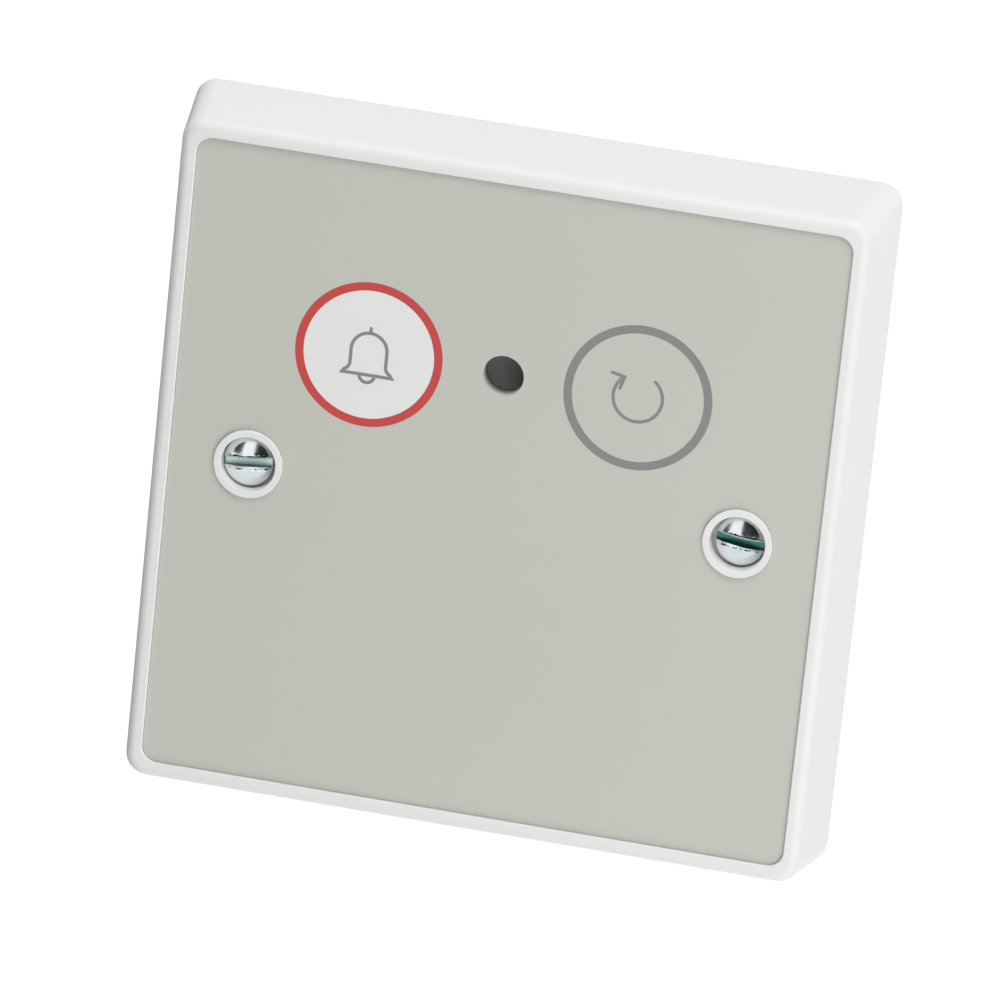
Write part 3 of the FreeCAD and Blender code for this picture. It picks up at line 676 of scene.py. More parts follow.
def offsetLine(line, closed, distance):
    count = len(line)
    moved = []
    for i, (u, v) in enumerate(line):
        before = line[(i - 1) % count] if closed or i > 0 else line[i]
        after = line[(i + 1) % count] if closed or i < count - 1 else line[i]
        first = Vector((u - before[0], v - before[1]))
        last = Vector((after[0] - u, after[1] - v))
        first = first.normalized() if first.length > meshing["nothing"] else last.normalized()
        last = last.normalized() if last.length > meshing["nothing"] else first
        along = (first + last).normalized()
        reach = distance / max(along.dot(first), meshing["mitreLimit"])
        moved.append((u - along.y * reach, v + along.x * reach))
    return moved


def strokeOutline(line, width):
    # outline of an open stroke with round ends
    left = offsetLine(line, False, width / 2)
    right = offsetLine(line, False, -width / 2)
    caps = []
    for end, other in ((line[-1], left[-1]), (line[0], right[0])):
        angle = math.degrees(math.atan2(other[1] - end[1], other[0] - end[0]))
        caps.append(arc(end[0], end[1], width / 2, angle, angle - 180, meshing["capSteps"])[1:-1])
    return left + caps[0] + list(reversed(right)) + caps[1]


# Carried-over CAD nodes: their finishes, and the small rounding that moulding and stamping leave on edges

nodeFinishes = {
    "faceplate": mouldedAbs,
    "alert_key": keyPolycarbonate,
    "reset_key": keyPolycarbonate,
    "port_gauze": acousticCloth,
    "sounder": blackNylon,
    "circuit_board": resistOnLaminate,
    "board_screw": zincSteel,
    "switch_base": blackNylon,
    "switch_plunger": blackNylon,
    "switch_cover": tinnedSheet,
    "switch_legs": tinnedCopper,
    "alert_lamp": lampResin,
    "controller_chip": mouldedEpoxy,
    "controller_leads": tinnedCopper,
    "polarity_diode": diodeWithFeet,
    "sounder_transistor": transistorWithLeads,      # after sounder, whose name it also holds
    "terminal_block": greenPolyamide,
    "terminal_contact": tinnedBrass,
    "terminal_clamp": nickelBrass,
    "terminal_screw": zincSteel,
    "smoothing_capacitor": canOnBase,
    "chip_resistors": glazedChip,
}
edgeRounding = {
    "radii": {
        "terminal_block": 0.15, "board_screw": 0.14, "terminal_screw": 0.08, "smoothing_capacitor": 0.2,
    },
    "segments": 2,
    "fromAngle": 40,        # degrees
    "joinWithin": 1e-6,     # metres
}


def roundEdges(node, radius):
    weld = node.modifiers.new("joinedFaces", "WELD")
    weld.merge_threshold = edgeRounding["joinWithin"]
    bevel = node.modifiers.new("roundedEdges", "BEVEL")
    bevel.width = radius * mm
    bevel.segments = edgeRounding["segments"]
    bevel.limit_method = "ANGLE"
    bevel.angle_limit = math.radians(edgeRounding["fromAngle"])
    bevel.harden_normals = True


for nodeName, node in nodes.items():
    for part, finish in nodeFinishes.items():
        if part in nodeName:
            for materialSlot in node.material_slots:
                materialSlot.material = finish
    for part, radius in edgeRounding["radii"].items():
        if part in nodeName:
            roundEdges(node, radius)
print("node finishes set")


# Printed film: one sheet on the housing, and a round, slightly embossed field over each key

film = {
    "cornerRadius": 2.0,
    "cornerSteps": 10,
    "cutEdge": 0.05,        # rounding that the cutting die leaves
    "collarHole": 4.3,
    "portHole": 2.52,
    "holeSides": 96,
    "ringOuter": 9.05,
    "ringInner": 8.01,
    "ringSides": 144,
    "hingeOuter": 7.4,      # the film bends between these two radii
    "hingeInner": 5.5,
    "emboss": 0.012,        # lift of the field
    "fieldRadii": (0.6, 2.2, 4.0, 5.5, 5.9, 6.3, 6.7, 7.1),
}
fieldInks = {"alert": (inkWhite, inkRed), "reset": (filmGreyGreen, inkGrey)}      # inside and ring


def makeFilmSheet():
    size = filmHigh.x - filmLow.x
    edge = film["cutEdge"]
    cutHoles = [(bore.x, bore.z, film["collarHole"]) for bore in boreCentres.values()]
    cutHoles.append((port.x, port.z, film["portHole"]))
    points = []
    starts = []
    for y, inset in ((filmFront, edge), (filmFront + edge, 0), (filmBack, 0)):
        side = size - 2 * inset
        loops = [roundedOutline(0, 0, side, side, film["cornerRadius"] - inset, film["cornerSteps"])]
        loops += [circle(x, z, radius + inset, film["holeSides"]) for x, z, radius in cutHoles]
        loops += [circle(key.x, key.z, film["ringOuter"], film["ringSides"]) for key in keyCentres.values()]
        starts.append(len(points))
        points += [(x, y, z) for loop in loops for x, z in loop]
        if y == filmFront:
            front = fillFlat(loops)
    faces = list(front) + [tuple(starts[2] + i for i in face) for face in front]
    for start, nextStart in zip(starts, starts[1:]):
        counted = 0
        for loop in loops:
            upper = [start + counted + i for i in range(len(loop))]
            lower = [nextStart + counted + i for i in range(len(loop))]
            counted += len(loop)
            faces += bridge(upper, lower)
    return newPiece("film_sheet", points, faces, [filmGreyGreen])


def fieldLift(radius):
    share = (film["hingeOuter"] - radius) / (film["hingeOuter"] - film["hingeInner"])
    return film["emboss"] * min(max(share, 0.0), 1.0)


def makeFilmField(name, key, inks):
    radii = (*film["fieldRadii"], film["hingeOuter"], film["ringInner"], film["ringOuter"])
    count = film["ringSides"]
    points = [(key.x, filmFront - fieldLift(0), key.z)]
    rings = []
    for radius in radii:
        level = filmFront - fieldLift(radius)
        rings.append(addRing(points, [(u, level, v) for u, v in circle(key.x, key.z, radius, count)]))
    faces = [(0, rings[0][i], rings[0][(i + 1) % count]) for i in range(count)]
    kinds = [0] * count
    for inner, outer, radius in zip(rings, rings[1:], radii[1:]):
        faces += bridge(inner, outer)
        kinds += [1 if radius > film["ringInner"] else 0] * count
    back = addRing(points, [(u, filmBack, v) for u, v in circle(key.x, key.z, film["ringOuter"], count)])
    faces += bridge(rings[-1], back)
    faces.append(tuple(back))
    kinds += [0] * (count + 1)
    return newPiece(name, points, faces, inks, kinds)


filmSheet = makeFilmSheet()
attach(filmSheet, "housing")
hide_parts("overlay_film")
for fieldName, keyCentre in keyCentres.items():
    field = makeFilmField(fieldName + "_film_field", keyCentre, fieldInks[fieldName])
    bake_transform(field)
    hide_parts("overlay_film")
print("film made")


# Symbols in the two fields: a bell for alert, and a returning arrow for reset

symbolInk = {
    "stroke": 0.41,
    "thickness": 0.01,
    "overlap": 0.002,       # the ink reaches this far into the film
    "crossStep": 0.05,      # strokes that cross differ by this share of the thickness, and share no plane
}
bell = {
    "crownRadius": 2.2,
    "crownLevel": 0.5,      # of its centre, over the middle of the field
    "crownSteps": 28,
    "flareRadius": 1.0,
    "flareLevel": -1.25,
    "flareTurn": -65,       # degrees
    "flareSteps": 8,
    "skirtReach": 0.86,     # of its corners beyond the crown
    "skirtDrop": 0.4,
    "clapperRadius": 0.95,
    "clapperTurn": (200, 340),
    "clapperSteps": 14,
    "knob": (0.5, 1.1),     # foot and top over the crown's radius
}
arrow = {
    "radius": 3.0,
    "turn": (128, 410),     # degrees, from the tip to the tail
    "steps": 60,
    "barbs": ((-0.42, -1.5), (-1.53, 0.33)),      # their ends, from the tip
}


def bellStrokes():
    radius = bell["crownRadius"]
    flare = bell["flareRadius"]
    crown = arc(0, bell["crownLevel"], radius, 0, 180, bell["crownSteps"])
    leftFlare = arc(-radius - flare, bell["flareLevel"], flare, 0, bell["flareTurn"], bell["flareSteps"])
    rightFlare = [(-u, v) for u, v in reversed(leftFlare)]
    base = rightFlare[0][1] - bell["skirtDrop"]
    corner = radius + bell["skirtReach"]
    body = rightFlare + crown + leftFlare + [(-corner, base), (corner, base)]
    clapper = arc(0, base, bell["clapperRadius"], *bell["clapperTurn"], bell["clapperSteps"])
    knob = [(0, radius + level) for level in bell["knob"]]
    return [(body, True), (clapper, False), (knob, False)]


def arrowStrokes():
    sweep = arc(0, 0, arrow["radius"], *arrow["turn"], arrow["steps"])
    tipX, tipZ = sweep[0]
    lower, upper = [(tipX + u, tipZ + v) for u, v in arrow["barbs"]]
    return [(sweep, False), ([lower, (tipX, tipZ), upper], False)]


def makeSymbol(name, strokes, key):
    base = filmFront - film["emboss"]
    width = symbolInk["stroke"]
    points = []
    faces = []
    for number, (line, closed) in enumerate(strokes):
        line = [(key.x + u, key.z + v) for u, v in line]
        if closed:
            loops = [offsetLine(line, True, -width / 2), offsetLine(line, True, width / 2)]
        else:
            loops = [strokeOutline(line, width)]
        level = base - symbolInk["thickness"] * (1 + symbolInk["crossStep"] * number)
        addRaised(points, faces, loops, level, base + symbolInk["overlap"])
    return newPiece(name, points, faces, [inkGrey])


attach(makeSymbol("alert_symbol", bellStrokes(), keyCentres["alert"]), "alert_button")
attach(makeSymbol("reset_symbol", arrowStrokes(), keyCentres["reset"]), "reset_button")
print("symbols made")


# Fixing screws: sawn slot with rolled-up lips, domed head, plain shank and M3.5 thread

fixingScrew = {
    "headRadius": 3.05,
    "headRise": 0.85,
    "shankRadius": 1.55,
    "threadRadius": 1.75,
    "threadRoot": 1.42,
    "pitch": 0.6,
    "slotWidth": 1.0,
    "slotDepth": 1.2,
    "slotReach": 2.96,      # the slot's floor runs out at the head's upright edge
    "ledgeDepth": 0.66,     # where the head's underside meets its countersunk seat
    "ledgeRadius": 2.36,
    "columns": 96,          # facets along the slot
    "domeRows": 15,         # and across the rest of each half of the head
    "sharpFrom": 40,
    "threadSides": 40,
    "threadRows": 10,       # in a turn
    "threadStart": -0.3,
    "shankOverlap": 0.05,   # the shank reaches this far into the thread
    "flank": (1.25, -0.1),  # slope of the thread's flanks, and their shift, which leaves a flat root
    "startHeight": 0.25,    # share of the full thread with which it starts under the shank
    "tipHeight": 0.2,       # and with which it ends
    "tipTaper": 1.0,        # length over which it dies away
}
# what the saw does to the slot's edges. Rates are noise cells to the millimetre
sawnLip = {
    "rows": (0.0, 0.03, 0.06, 0.09, 0.13, 0.17, 0.22, 0.27, 0.33, 0.40, 0.48, 0.58),    # out from the wall
    "edgeDrop": 0.14,       # the edge itself is rounded down by this
    "edgeWidth": 0.12,
    "burr": 0.07,           # height of the rolled ridge and depth of the dents
    "ridge": (0.2, 0.09),   # how far out, and how wide
    "dent": (0.34, 0.1),
    "ridgeMix": (0.7, 0.6, 0.3),      # its steady height, and what the slow and the fine noise add
    "dentMix": (0.9, 0.5),            # its depth, and what the fine noise adds
    "slowRate": 2.3,
    "fineRate": 6.0,
    "outwardRate": 3.0,
    "seedSteps": (7.1, 3.7, 2.9),     # keep the noises of the four lips apart
    "fade": 8,              # how suddenly the lip dies away at the slot's ends
    # the crease keys place the painted shadow beside each lip
    "creaseStart": 0.22,
    "creaseWidth": (0.12, 0.35),      # its least, and what the slow noise adds
    "creaseRate": 1.5,
    "creaseSlice": 3.0,
    "creaseFrom": {"upper": -0.45, "lower": 0.0},     # noise from which the crease is painted in shadow
    "creaseEnd": 2.4,       # from the head's middle
}
# how each screw sits: its slot's turn in degrees, the seed of its lips and the finish of its slot's floor,
# which on the right is the shaded wall finish as painted shade
screwSeats = {
    "left": {"turn": -5.5, "seed": 1.0, "floor": zincSlotLit},
    "right": {"turn": 5.6, "seed": 5.0, "floor": zincSlotShaded},
}
domeFace, wallFace, floorFace, creaseShadowFace, threadFace = range(5)


def domeHeight(radius):
    edge = fixingScrew["headRadius"]
    rise = fixingScrew["headRise"]
    curve = (edge ** 2 + rise ** 2) / (2 * rise)
    return math.sqrt(curve ** 2 - radius ** 2) - (curve - rise)


def hump(distance, middle, width):
    return math.exp(-((distance - middle) / width) ** 2)


def lipRoughness(u, seed):
    return noise.noise(Vector((u * sawnLip["slowRate"], seed * sawnLip["seedSteps"][0], 0.0)))


def lipHeight(u, distance, seed):
    # the saw leaves a rounded lip, a ridge of rolled metal behind it and dents a little way out
    steady, slowShare, fineShare = sawnLip["ridgeMix"]
    depth, dentShare = sawnLip["dentMix"]
    slow = lipRoughness(u, seed)
    place = (u * sawnLip["fineRate"], seed * sawnLip["seedSteps"][1], distance * sawnLip["outwardRate"])
    fine = noise.noise(Vector(place))
    ridge = hump(distance, *sawnLip["ridge"]) * (steady + slowShare * slow + fineShare * fine)
    dent = hump(distance, *sawnLip["dent"]) * max(0.0, slow + dentShare * fine) * depth
    return sawnLip["burr"] * (ridge - dent) - sawnLip["edgeDrop"] * hump(distance, 0, sawnLip["edgeWidth"])


def inCreaseShadow(u, distance, seed, lip):
    # broken marks of painted shadow in the crease between the ridge and the dome, nearly all along the upper
    # lip
    least, added = sawnLip["creaseWidth"]
    start = sawnLip["creaseStart"]
    width = least + added * max(0.0, lipRoughness(u, seed))
    place = (u * sawnLip["creaseRate"], seed * sawnLip["seedSteps"][2], sawnLip["creaseSlice"])
    shadowed = noise.noise(Vector(place)) > sawnLip["creaseFrom"][lip]
    return abs(u) < sawnLip["creaseEnd"] and start < distance < start + width and shadowed


def headRows():
    # kind and place of each row across the slot, from one side of the head to the other
    edge = fixingScrew["headRadius"]
    half = fixingScrew["slotWidth"] / 2
    steps = fixingScrew["domeRows"]
    distances = [half + distance for distance in sawnLip["rows"]]
    first = math.asin(distances[-1] / edge)
    distances += [edge * math.sin(first + (math.pi / 2 - first) * i / steps) for i in range(1, steps)]
    rows = [("tip", edge)] + [("dome", v) for v in reversed(distances)]
    rows += [("floor", half), ("floor", -half)]
    return rows + [("dome", -v) for v in distances] + [("tip", -edge)]


def addHeadCorners(points, rows, seed):
    # the corners of each row, in columns along the slot, as vertex numbers
    edge = fixingScrew["headRadius"]
    half = fixingScrew["slotWidth"] / 2
    columns = fixingScrew["columns"]
    numbers = []
    for kind, v in rows:
        if kind == "tip":
            numbers.append([len(points)] * (columns + 1))
            points.append((0.0, 0.0, v))
            continue
        reach = math.sqrt((edge if kind == "dome" else fixingScrew["slotReach"]) ** 2 - v ** 2)
        row = []
        for i in range(columns + 1):
            u = reach * (2 * i / columns - 1)
            height = fixingScrew["headRise"] - fixingScrew["slotDepth"]
            if kind == "dome":
                fade = max(0.0, 1 - (abs(u) / reach) ** sawnLip["fade"])
                height = domeHeight(min(math.hypot(u, v), edge))
                height += fade * lipHeight(u, abs(v) - half, seed + (v < 0))
            row.append(len(points))
            points.append((u, -height, v))
        numbers.append(row)
    return numbers


def headFaces(points, rows, numbers, seed):
    half = fixingScrew["slotWidth"] / 2
    faces = []
    kinds = []
    for (kind, v), (nextKind, nextV), upper, lower in zip(rows, rows[1:], numbers, numbers[1:]):
        lip = "upper" if v > 0 else "lower"
        distance = (abs(v) + abs(nextV)) / 2 - half
        for i in range(fixingScrew["columns"]):
            faces.append(withoutRepeats((upper[i], lower[i], lower[i + 1], upper[i + 1])))
            middle = (points[upper[i]][0] + points[lower[i]][0]) / 2
            if kind == nextKind == "floor":
                kinds.append(floorFace)
            elif "floor" in (kind, nextKind):
                kinds.append(wallFace)
            elif inCreaseShadow(middle, distance, seed + (v < 0), lip):
                kinds.append(creaseShadowFace)
            else:
                kinds.append(domeFace)
    return faces, kinds


def addHeadRim(points, rows, numbers):
    # the rim of the head as one ring, and the ring below it where the cone starts
    half = fixingScrew["slotWidth"] / 2
    floorLevel = fixingScrew["slotDepth"] - fixingScrew["headRise"]
    floorRadius = fixingScrew["slotReach"]
    squeeze = (floorRadius - half) / (fixingScrew["headRadius"] - half)
    rim = [(kind, v, row[-1]) for (kind, v), row in zip(rows, numbers)]
    rim += [(kind, v, row[0]) for (kind, v), row in reversed(list(zip(rows, numbers))[1:-1])]
    below = []
    for position, (kind, v, corner) in enumerate(rim):
        side = 1 if position < len(rows) else -1
        if kind == "floor":
            below.append(corner)
        elif kind == "dome" and abs(abs(v) - half) < meshing["nothing"]:
            beside = [rim[near] for near in (position - 1, (position + 1) % len(rim))]
            below.append([other for otherKind, _, other in beside if otherKind == "floor"][0])
        else:
            lowered = math.copysign(half + (abs(v) - half) * squeeze, v)
            below.append(len(points))
            across = side * math.sqrt(max(floorRadius ** 2 - lowered ** 2, 0.0))
            points.append((across, floorLevel, lowered))
    return [corner for _, _, corner in rim], below


def addThread(points, faces, start, length):
    # a turned bar whose radius follows the helix, with a tapered tip and a run-out at the shank
    sides = fixingScrew["threadSides"]
    pitch = fixingScrew["pitch"]
    root = fixingScrew["threadRoot"]
    full = fixingScrew["threadRadius"] - root
    least = fixingScrew["tipHeight"]
    steepness, rounding = fixingScrew["flank"]
    rowCount = int(length / pitch * fixingScrew["threadRows"])
    rings = []
    for row in range(rowCount + 1):
        y = length * row / rowCount
        grown = min(1.0, (length - y) / fixingScrew["tipTaper"] * (1 - least) + least)
        grown *= min(1.0, y / pitch + fixingScrew["startHeight"])
        ring = []
        for i in range(sides):
            slope = abs(2 * ((y / pitch - i / sides) % 1.0) - 1)
            radius = root + full * grown * min(1.0, max(0.0, steepness * slope + rounding))
            a = 2 * math.pi * i / sides
            ring.append((radius * math.cos(a), start + y, radius * math.sin(a)))
        rings.append(addRing(points, ring))
    faces += closedBar(rings)


def makeFixingScrew(side, seat):
    name = "fixing_screw_" + side
    low, high = nodeBox(name)
    edgeY = low.y + fixingScrew["headRise"]
    threadStart = fixingScrew["threadStart"] - edgeY
    shank = fixingScrew["shankRadius"]
    points = []
    rows = headRows()
    numbers = addHeadCorners(points, rows, seat["seed"])
    faces, kinds = headFaces(points, rows, numbers, seat["seed"])
    rings = list(addHeadRim(points, rows, numbers))
    belowLedge = (
        (fixingScrew["ledgeDepth"], fixingScrew["ledgeRadius"]),
        (fixingScrew["headRadius"] - shank, shank),
        (threadStart + fixingScrew["shankOverlap"], shank),
    )
    for y, radius in belowLedge:
        share = radius / fixingScrew["slotReach"]
        ledge = [points[corner] for corner in rings[1]]
        rings.append(addRing(points, [(u * share, y, v * share) for u, _, v in ledge]))
    for upper, lower in zip(rings, rings[1:]):
        quads = [withoutRepeats(quad) for quad in bridge(upper, lower)]
        faces += [quad for quad in quads if len(quad) > 2]
    faces.append(tuple(rings[-1]))
    addThread(points, faces, threadStart, high.y - edgeY - threadStart)
    # the head's edge, its cone and the shank take the thread's grey: painted shade that darkens the gap
    # beside the head
    kinds += [threadFace] * (len(faces) - len(kinds))
    angle = math.radians(seat["turn"])
    centreX = boreCentres[side].x + headShifts[side][0]
    centreZ = boreCentres[side].z + headShifts[side][1]
    placed = []
    for u, y, v in points:
        x = centreX + u * math.cos(angle) + v * math.sin(angle)
        z = centreZ + v * math.cos(angle) - u * math.sin(angle)
        placed.append((x, edgeY + y, z))
    finishes = [zincPassivate, zincSlotShaded, seat["floor"], zincCreaseShadow, zincThreadAndShade]
    sharpFrom = fixingScrew["sharpFrom"]
    piece = newPiece(name + "_threaded", placed, faces, finishes, kinds, sharpFrom)
    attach(piece, "housing")
    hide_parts(name)


for screwSide, screwSeat in screwSeats.items():
    makeFixingScrew(screwSide, screwSeat)
print("fixing screws made")


# What a hidden side shows: marks of the mould, and the board's copper, joints and printed outlines

ejectorMarks = {
    "radius": 2.0,
    "step": 0.06,
    "sides": 48,
    "places": ((-34, 34), (34, 34), (-34, -34), (34, -34), (0, 37), (0, -37), (-34, 16), (34, 16)),
}


def makeEjectorMarks():
    points = []
    faces = []
    for x, z in ejectorMarks["places"]:
        ring = [circle(x, z, ejectorMarks["radius"], ejectorMarks["sides"])]
        addRaised(points, faces, ring, plateInside - ejectorMarks["step"], plateInside + ejectorMarks["step"])
    return newPiece("ejector_marks", points, faces, [mouldedAbs])


# Where the pins come through the board
pinPlaces = {
    "terminalInset": 0.4,   # from the upper end of a contact to the middle of its pin
    "sounderSpacing": 7.6,  # between the sounder's two pins
    "blockOverlap": 1.0,    # the power paths start this far under the terminal block
}
blockLow, blockHigh = nodeBox("terminal_block")
contactNames = ("terminal_contact_1", "terminal_contact_2", "terminal_contact_3")
contactPins = [(nodeCentre(name).x, nodeBox(name)[1].z - pinPlaces["terminalInset"]) for name in contactNames]
sounderPins = [(port.x + side * pinPlaces["sounderSpacing"] / 2, port.z) for side in (-1, 1)]
underBlock = blockHigh.z - pinPlaces["blockOverlap"]

boardCopper = {
    "thickness": 0.05,      # copper with the resist over it
    "powerWidth": 1.1,
    "fineWidth": 0.4,
    "pours": ((0.0, 25.5, 30.0, 7.0), (0.0, -27.6, 25.0, 6.0)),      # middle X, middle Z, width, height
    "pourCorner": 0.6,
    "pourSteps": 6,
    "power": (
        ((contactPins[0][0], underBlock), (contactPins[0][0], -9.0), (-9.0, -5.0), (-9.0, 2.0)),
        ((contactPins[1][0], underBlock), (contactPins[1][0], -6.0)),
        ((contactPins[2][0], underBlock), (contactPins[2][0], -11.0), (10.0, -6.0), (16.0, -6.0)),
    ),
    "fine": (
        (sounderPins[0], (sounderPins[0][0], 9.0), (-1.0, 6.0)),
        (sounderPins[1], (sounderPins[1][0], 10.0), (8.0, 5.5), (12.0, 5.5)),
        ((-20.5, 12.5), (-20.5, 4.0), (-14.0, -2.5), (-11.5, -2.5)),
        ((20.0, 12.5), (20.0, 2.0), (14.0, -4.0), (3.0, -4.0)),
        ((-20.5, 19.7), (-23.0, 17.2), (-23.0, -20.0), (-18.0, -25.0), (-14.5, -25.0)),
        ((20.0, 19.7), (22.8, 16.9), (22.8, -18.2), (16.0, -25.0), (14.5, -25.0)),
        ((-12.5, 19.7), (-9.0, 16.2), (-9.0, 8.0)),
        ((12.0, 19.7), (8.5, 16.2), (8.5, 9.5)),
    ),
}


def makeCopperPaths():
    points = []
    faces = []
    surface = boardBack + boardCopper["thickness"]
    for kind in ("power", "fine"):
        for path in boardCopper[kind]:
            outline = strokeOutline(path, boardCopper[kind + "Width"])
            addRaised(points, faces, [outline], boardBack, surface)
    for pour in boardCopper["pours"]:
        outline = roundedOutline(*pour, boardCopper["pourCorner"], boardCopper["pourSteps"])
        addRaised(points, faces, [outline], boardBack, surface)
    return newPiece("board_copper", points, faces, [resistOnCopper])


boardVias = {
    "radius": 0.45,
    "hole": 0.2,
    "step": 0.02,           # over the copper with its resist
    "sides": 24,
}


def makeVias():
    # plated holes: a raised ring at each path's end that has no pin, with a black disc in the hole as painted
    # shade
    points = []
    faces = []
    kinds = []
    ringFace = boardBack + boardCopper["thickness"] + boardVias["step"]
    for path in boardCopper["power"] + boardCopper["fine"]:
        for x, z in (path[0], path[-1]):
            if (x, z) in sounderPins or z == underBlock:
                continue
            rim = circle(x, z, boardVias["radius"], boardVias["sides"])
            hole = circle(x, z, boardVias["hole"], boardVias["sides"])
            addRaised(points, faces, [rim, hole], boardBack, ringFace)
            kinds += [0] * (len(faces) - len(kinds))
            # a black disc sunk in the hole: painted shade
            addRaised(points, faces, [hole], boardBack, ringFace - boardVias["step"] / 2)
            kinds += [1] * (len(faces) - len(kinds))
    return newPiece("board_vias", points, faces, [tinSolder, blackNylon], kinds)


switchPads = {"size": (1.7, 1.3), "inset": (0.6, 0.35)}       # inset from the corners of the node's box
boardPads = {
    "step": 0.04,
    "corner": 0.12,
    "cornerSteps": 3,
    "testRadius": 0.75,
    "testSides": 32,
    "testPlaces": ((6.0, 0.5), (8.54, 0.5), (11.08, 0.5), (13.62, 0.5), (-22.0, -29.0), (22.0, -29.0)),
    "feet": {
        "alert_switch_legs": switchPads,
        "reset_switch_legs": switchPads,
        "chip_resistors": {"size": (1.5, 0.9), "inset": (0.625, 0.1), "spacing": 3.0, "count": 5},
        "controller_leads": {"size": (0.6, 1.1), "inset": (0.21, 0.35), "spacing": 1.27, "count": 4},
    },
}


def padsUnder(name, pad):
    # pads along the lower and the upper edge of a component: in a row, or at its two sides
    low, high = nodeBox(name)
    insetX, insetZ = pad["inset"]
    places = [low.x + insetX, high.x - insetX]
    if "spacing" in pad:
        places = [low.x + insetX + pad["spacing"] * i for i in range(pad["count"])]
    return [(x, z, *pad["size"]) for x in places for z in (low.z + insetZ, high.z - insetZ)]


def makePads():
    # tinned pads: test points at the back, and one under each foot that stands on the board's front
    points = []
    faces = []
    step = boardPads["step"]
    for x, z in boardPads["testPlaces"]:
        disc = circle(x, z, boardPads["testRadius"], boardPads["testSides"])
        addRaised(points, faces, [disc], boardBack, boardBack + step)
    for name, pad in boardPads["feet"].items():
        for foot in padsUnder(name, pad):
            outline = roundedOutline(*foot, boardPads["corner"], boardPads["cornerSteps"])
            addRaised(points, faces, [outline], boardFront - step, boardFront)
    return newPiece("board_pads", points, faces, [tinSolder])


# radius and height of each ring, from the board up. The back ones end in the cut pin
solderJoint = {
    "sides": 32,
    "sharpFrom": 50,
    "backProfile": (
        (1.0, 0.0), (0.86, 0.08), (0.62, 0.28), (0.46, 0.55), (0.36, 0.78), (0.30, 0.84), (0.30, 1.1),
        (0.22, 1.18),
    ),
    "frontProfile": ((1.15, 0.0), (1.02, 0.1), (0.84, 0.3), (0.72, 0.55), (0.64, 0.8), (0.6, 0.86)),
}


def makeSolderJoints():
    # solder drawn up each pin in a hollow cone
    points = []
    faces = []
    sides = solderJoint["sides"]
    places = [(x, z, boardBack, 1, solderJoint["backProfile"]) for x, z in sounderPins]
    places += [(x, z, boardFront, -1, solderJoint["frontProfile"]) for x, z in contactPins]
    for x, z, level, outward, profile in places:
        rings = []
        for radius, height in profile:
            ring = [(u, level + outward * height, v) for u, v in circle(x, z, radius, sides)]
            rings.append(addRing(points, ring))
        faces += closedBar(rings)
    sharpFrom = solderJoint["sharpFrom"]
    return newPiece("solder_joints", points, faces, [tinSolder], None, sharpFrom)


printedMarks = {
    "line": 0.16,
    "ink": 0.065,           # over the copper paths too
    "corner": 0.3,
    "cornerSteps": 4,
    "blockMargin": 0.45,
    "dateField": (-13.0, 9.0, 8.0, 4.0),      # middle X, middle Z, width, height
    "screwRing": 2.7,
    "screwSides": 64,
    "tick": ((0.9, 0.6), (1.8, 1.5), (2.7, 0.6)),      # from each pin, and from the block's outline
}


def makePrintedMarks():
    # white outlines round the terminals and the screws, and an empty field for a date
    points = []
    faces = []
    line = printedMarks["line"]
    margin = printedMarks["blockMargin"]
    corner = printedMarks["corner"]
    steps = printedMarks["cornerSteps"]
    middle = (blockLow + blockHigh) / 2
    width = blockHigh.x - blockLow.x + 2 * margin
    height = blockHigh.z - blockLow.z + 2 * margin
    boxes = [(middle.x, middle.z, width, height), printedMarks["dateField"]]
    marks = []
    for x, z, width, height in boxes:
        outer = roundedOutline(x, z, width, height, corner, steps)
        inner = roundedOutline(x, z, width - 2 * line, height - 2 * line, corner - line, steps)
        marks.append([outer, inner])
    for name in ("board_screw_1", "board_screw_2"):
        screw = nodeCentre(name)
        radii = (printedMarks["screwRing"], printedMarks["screwRing"] - line)
        marks.append([circle(screw.x, screw.z, radius, printedMarks["screwSides"]) for radius in radii])
    for x, _ in contactPins:
        tick = [(x + u, blockHigh.z + margin + v) for u, v in printedMarks["tick"]]
        marks.append([strokeOutline(tick, line)])
    for loops in marks:
        addRaised(points, faces, loops, boardBack, boardBack + printedMarks["ink"])
    return newPiece("board_marks", points, faces, [markingInk])


for hiddenPiece in (makeEjectorMarks(), makeCopperPaths(), makeVias(), makePads(), makeSolderJoints(),
                    makePrintedMarks()):
    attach(hiddenPiece, "housing")
print("mould marks and board details made")


# Floor, light and the cards that the bright metal mirrors

studio = {
    "floorDrop": 0.6,           # metres under the plate's middle
    "floorHalf": 6.0,
    "floorColour": "#BFBFBF",
    "floorGlow": 0.9,
    "backdrop": "#FFFFFF",
    "worldStrength": 0.25,
}
# azimuth and elevation in degrees (azimuth 0 is straight in front of the plate), distance and width in
# metres, power in watts
lamps = {
    "lampRight": {"azimuth": 60, "elevation": 15, "distance": 0.55, "width": 0.35, "power": 0.62},
    "lampAbove": {"azimuth": 20, "elevation": 60, "distance": 0.55, "width": 0.35, "power": 1.66},
    "lampBelow": {"azimuth": 20, "elevation": -60, "distance": 0.55, "width": 0.35, "power": 1.28},
    "lampLeft": {"azimuth": -80, "elevation": 60, "distance": 0.55, "width": 0.35, "power": 0.57},
    "lampBehind": {"azimuth": 140, "elevation": 0, "distance": 1.1, "width": 0.7, "power": 4.42},
    "lampBack": {"azimuth": 180, "elevation": 0, "distance": 1.1, "width": 0.3, "power": 5.2},
    "lampFront": {"azimuth": 40, "elevation": -20, "distance": 0.55, "width": 0.35, "power": 0.75},
}
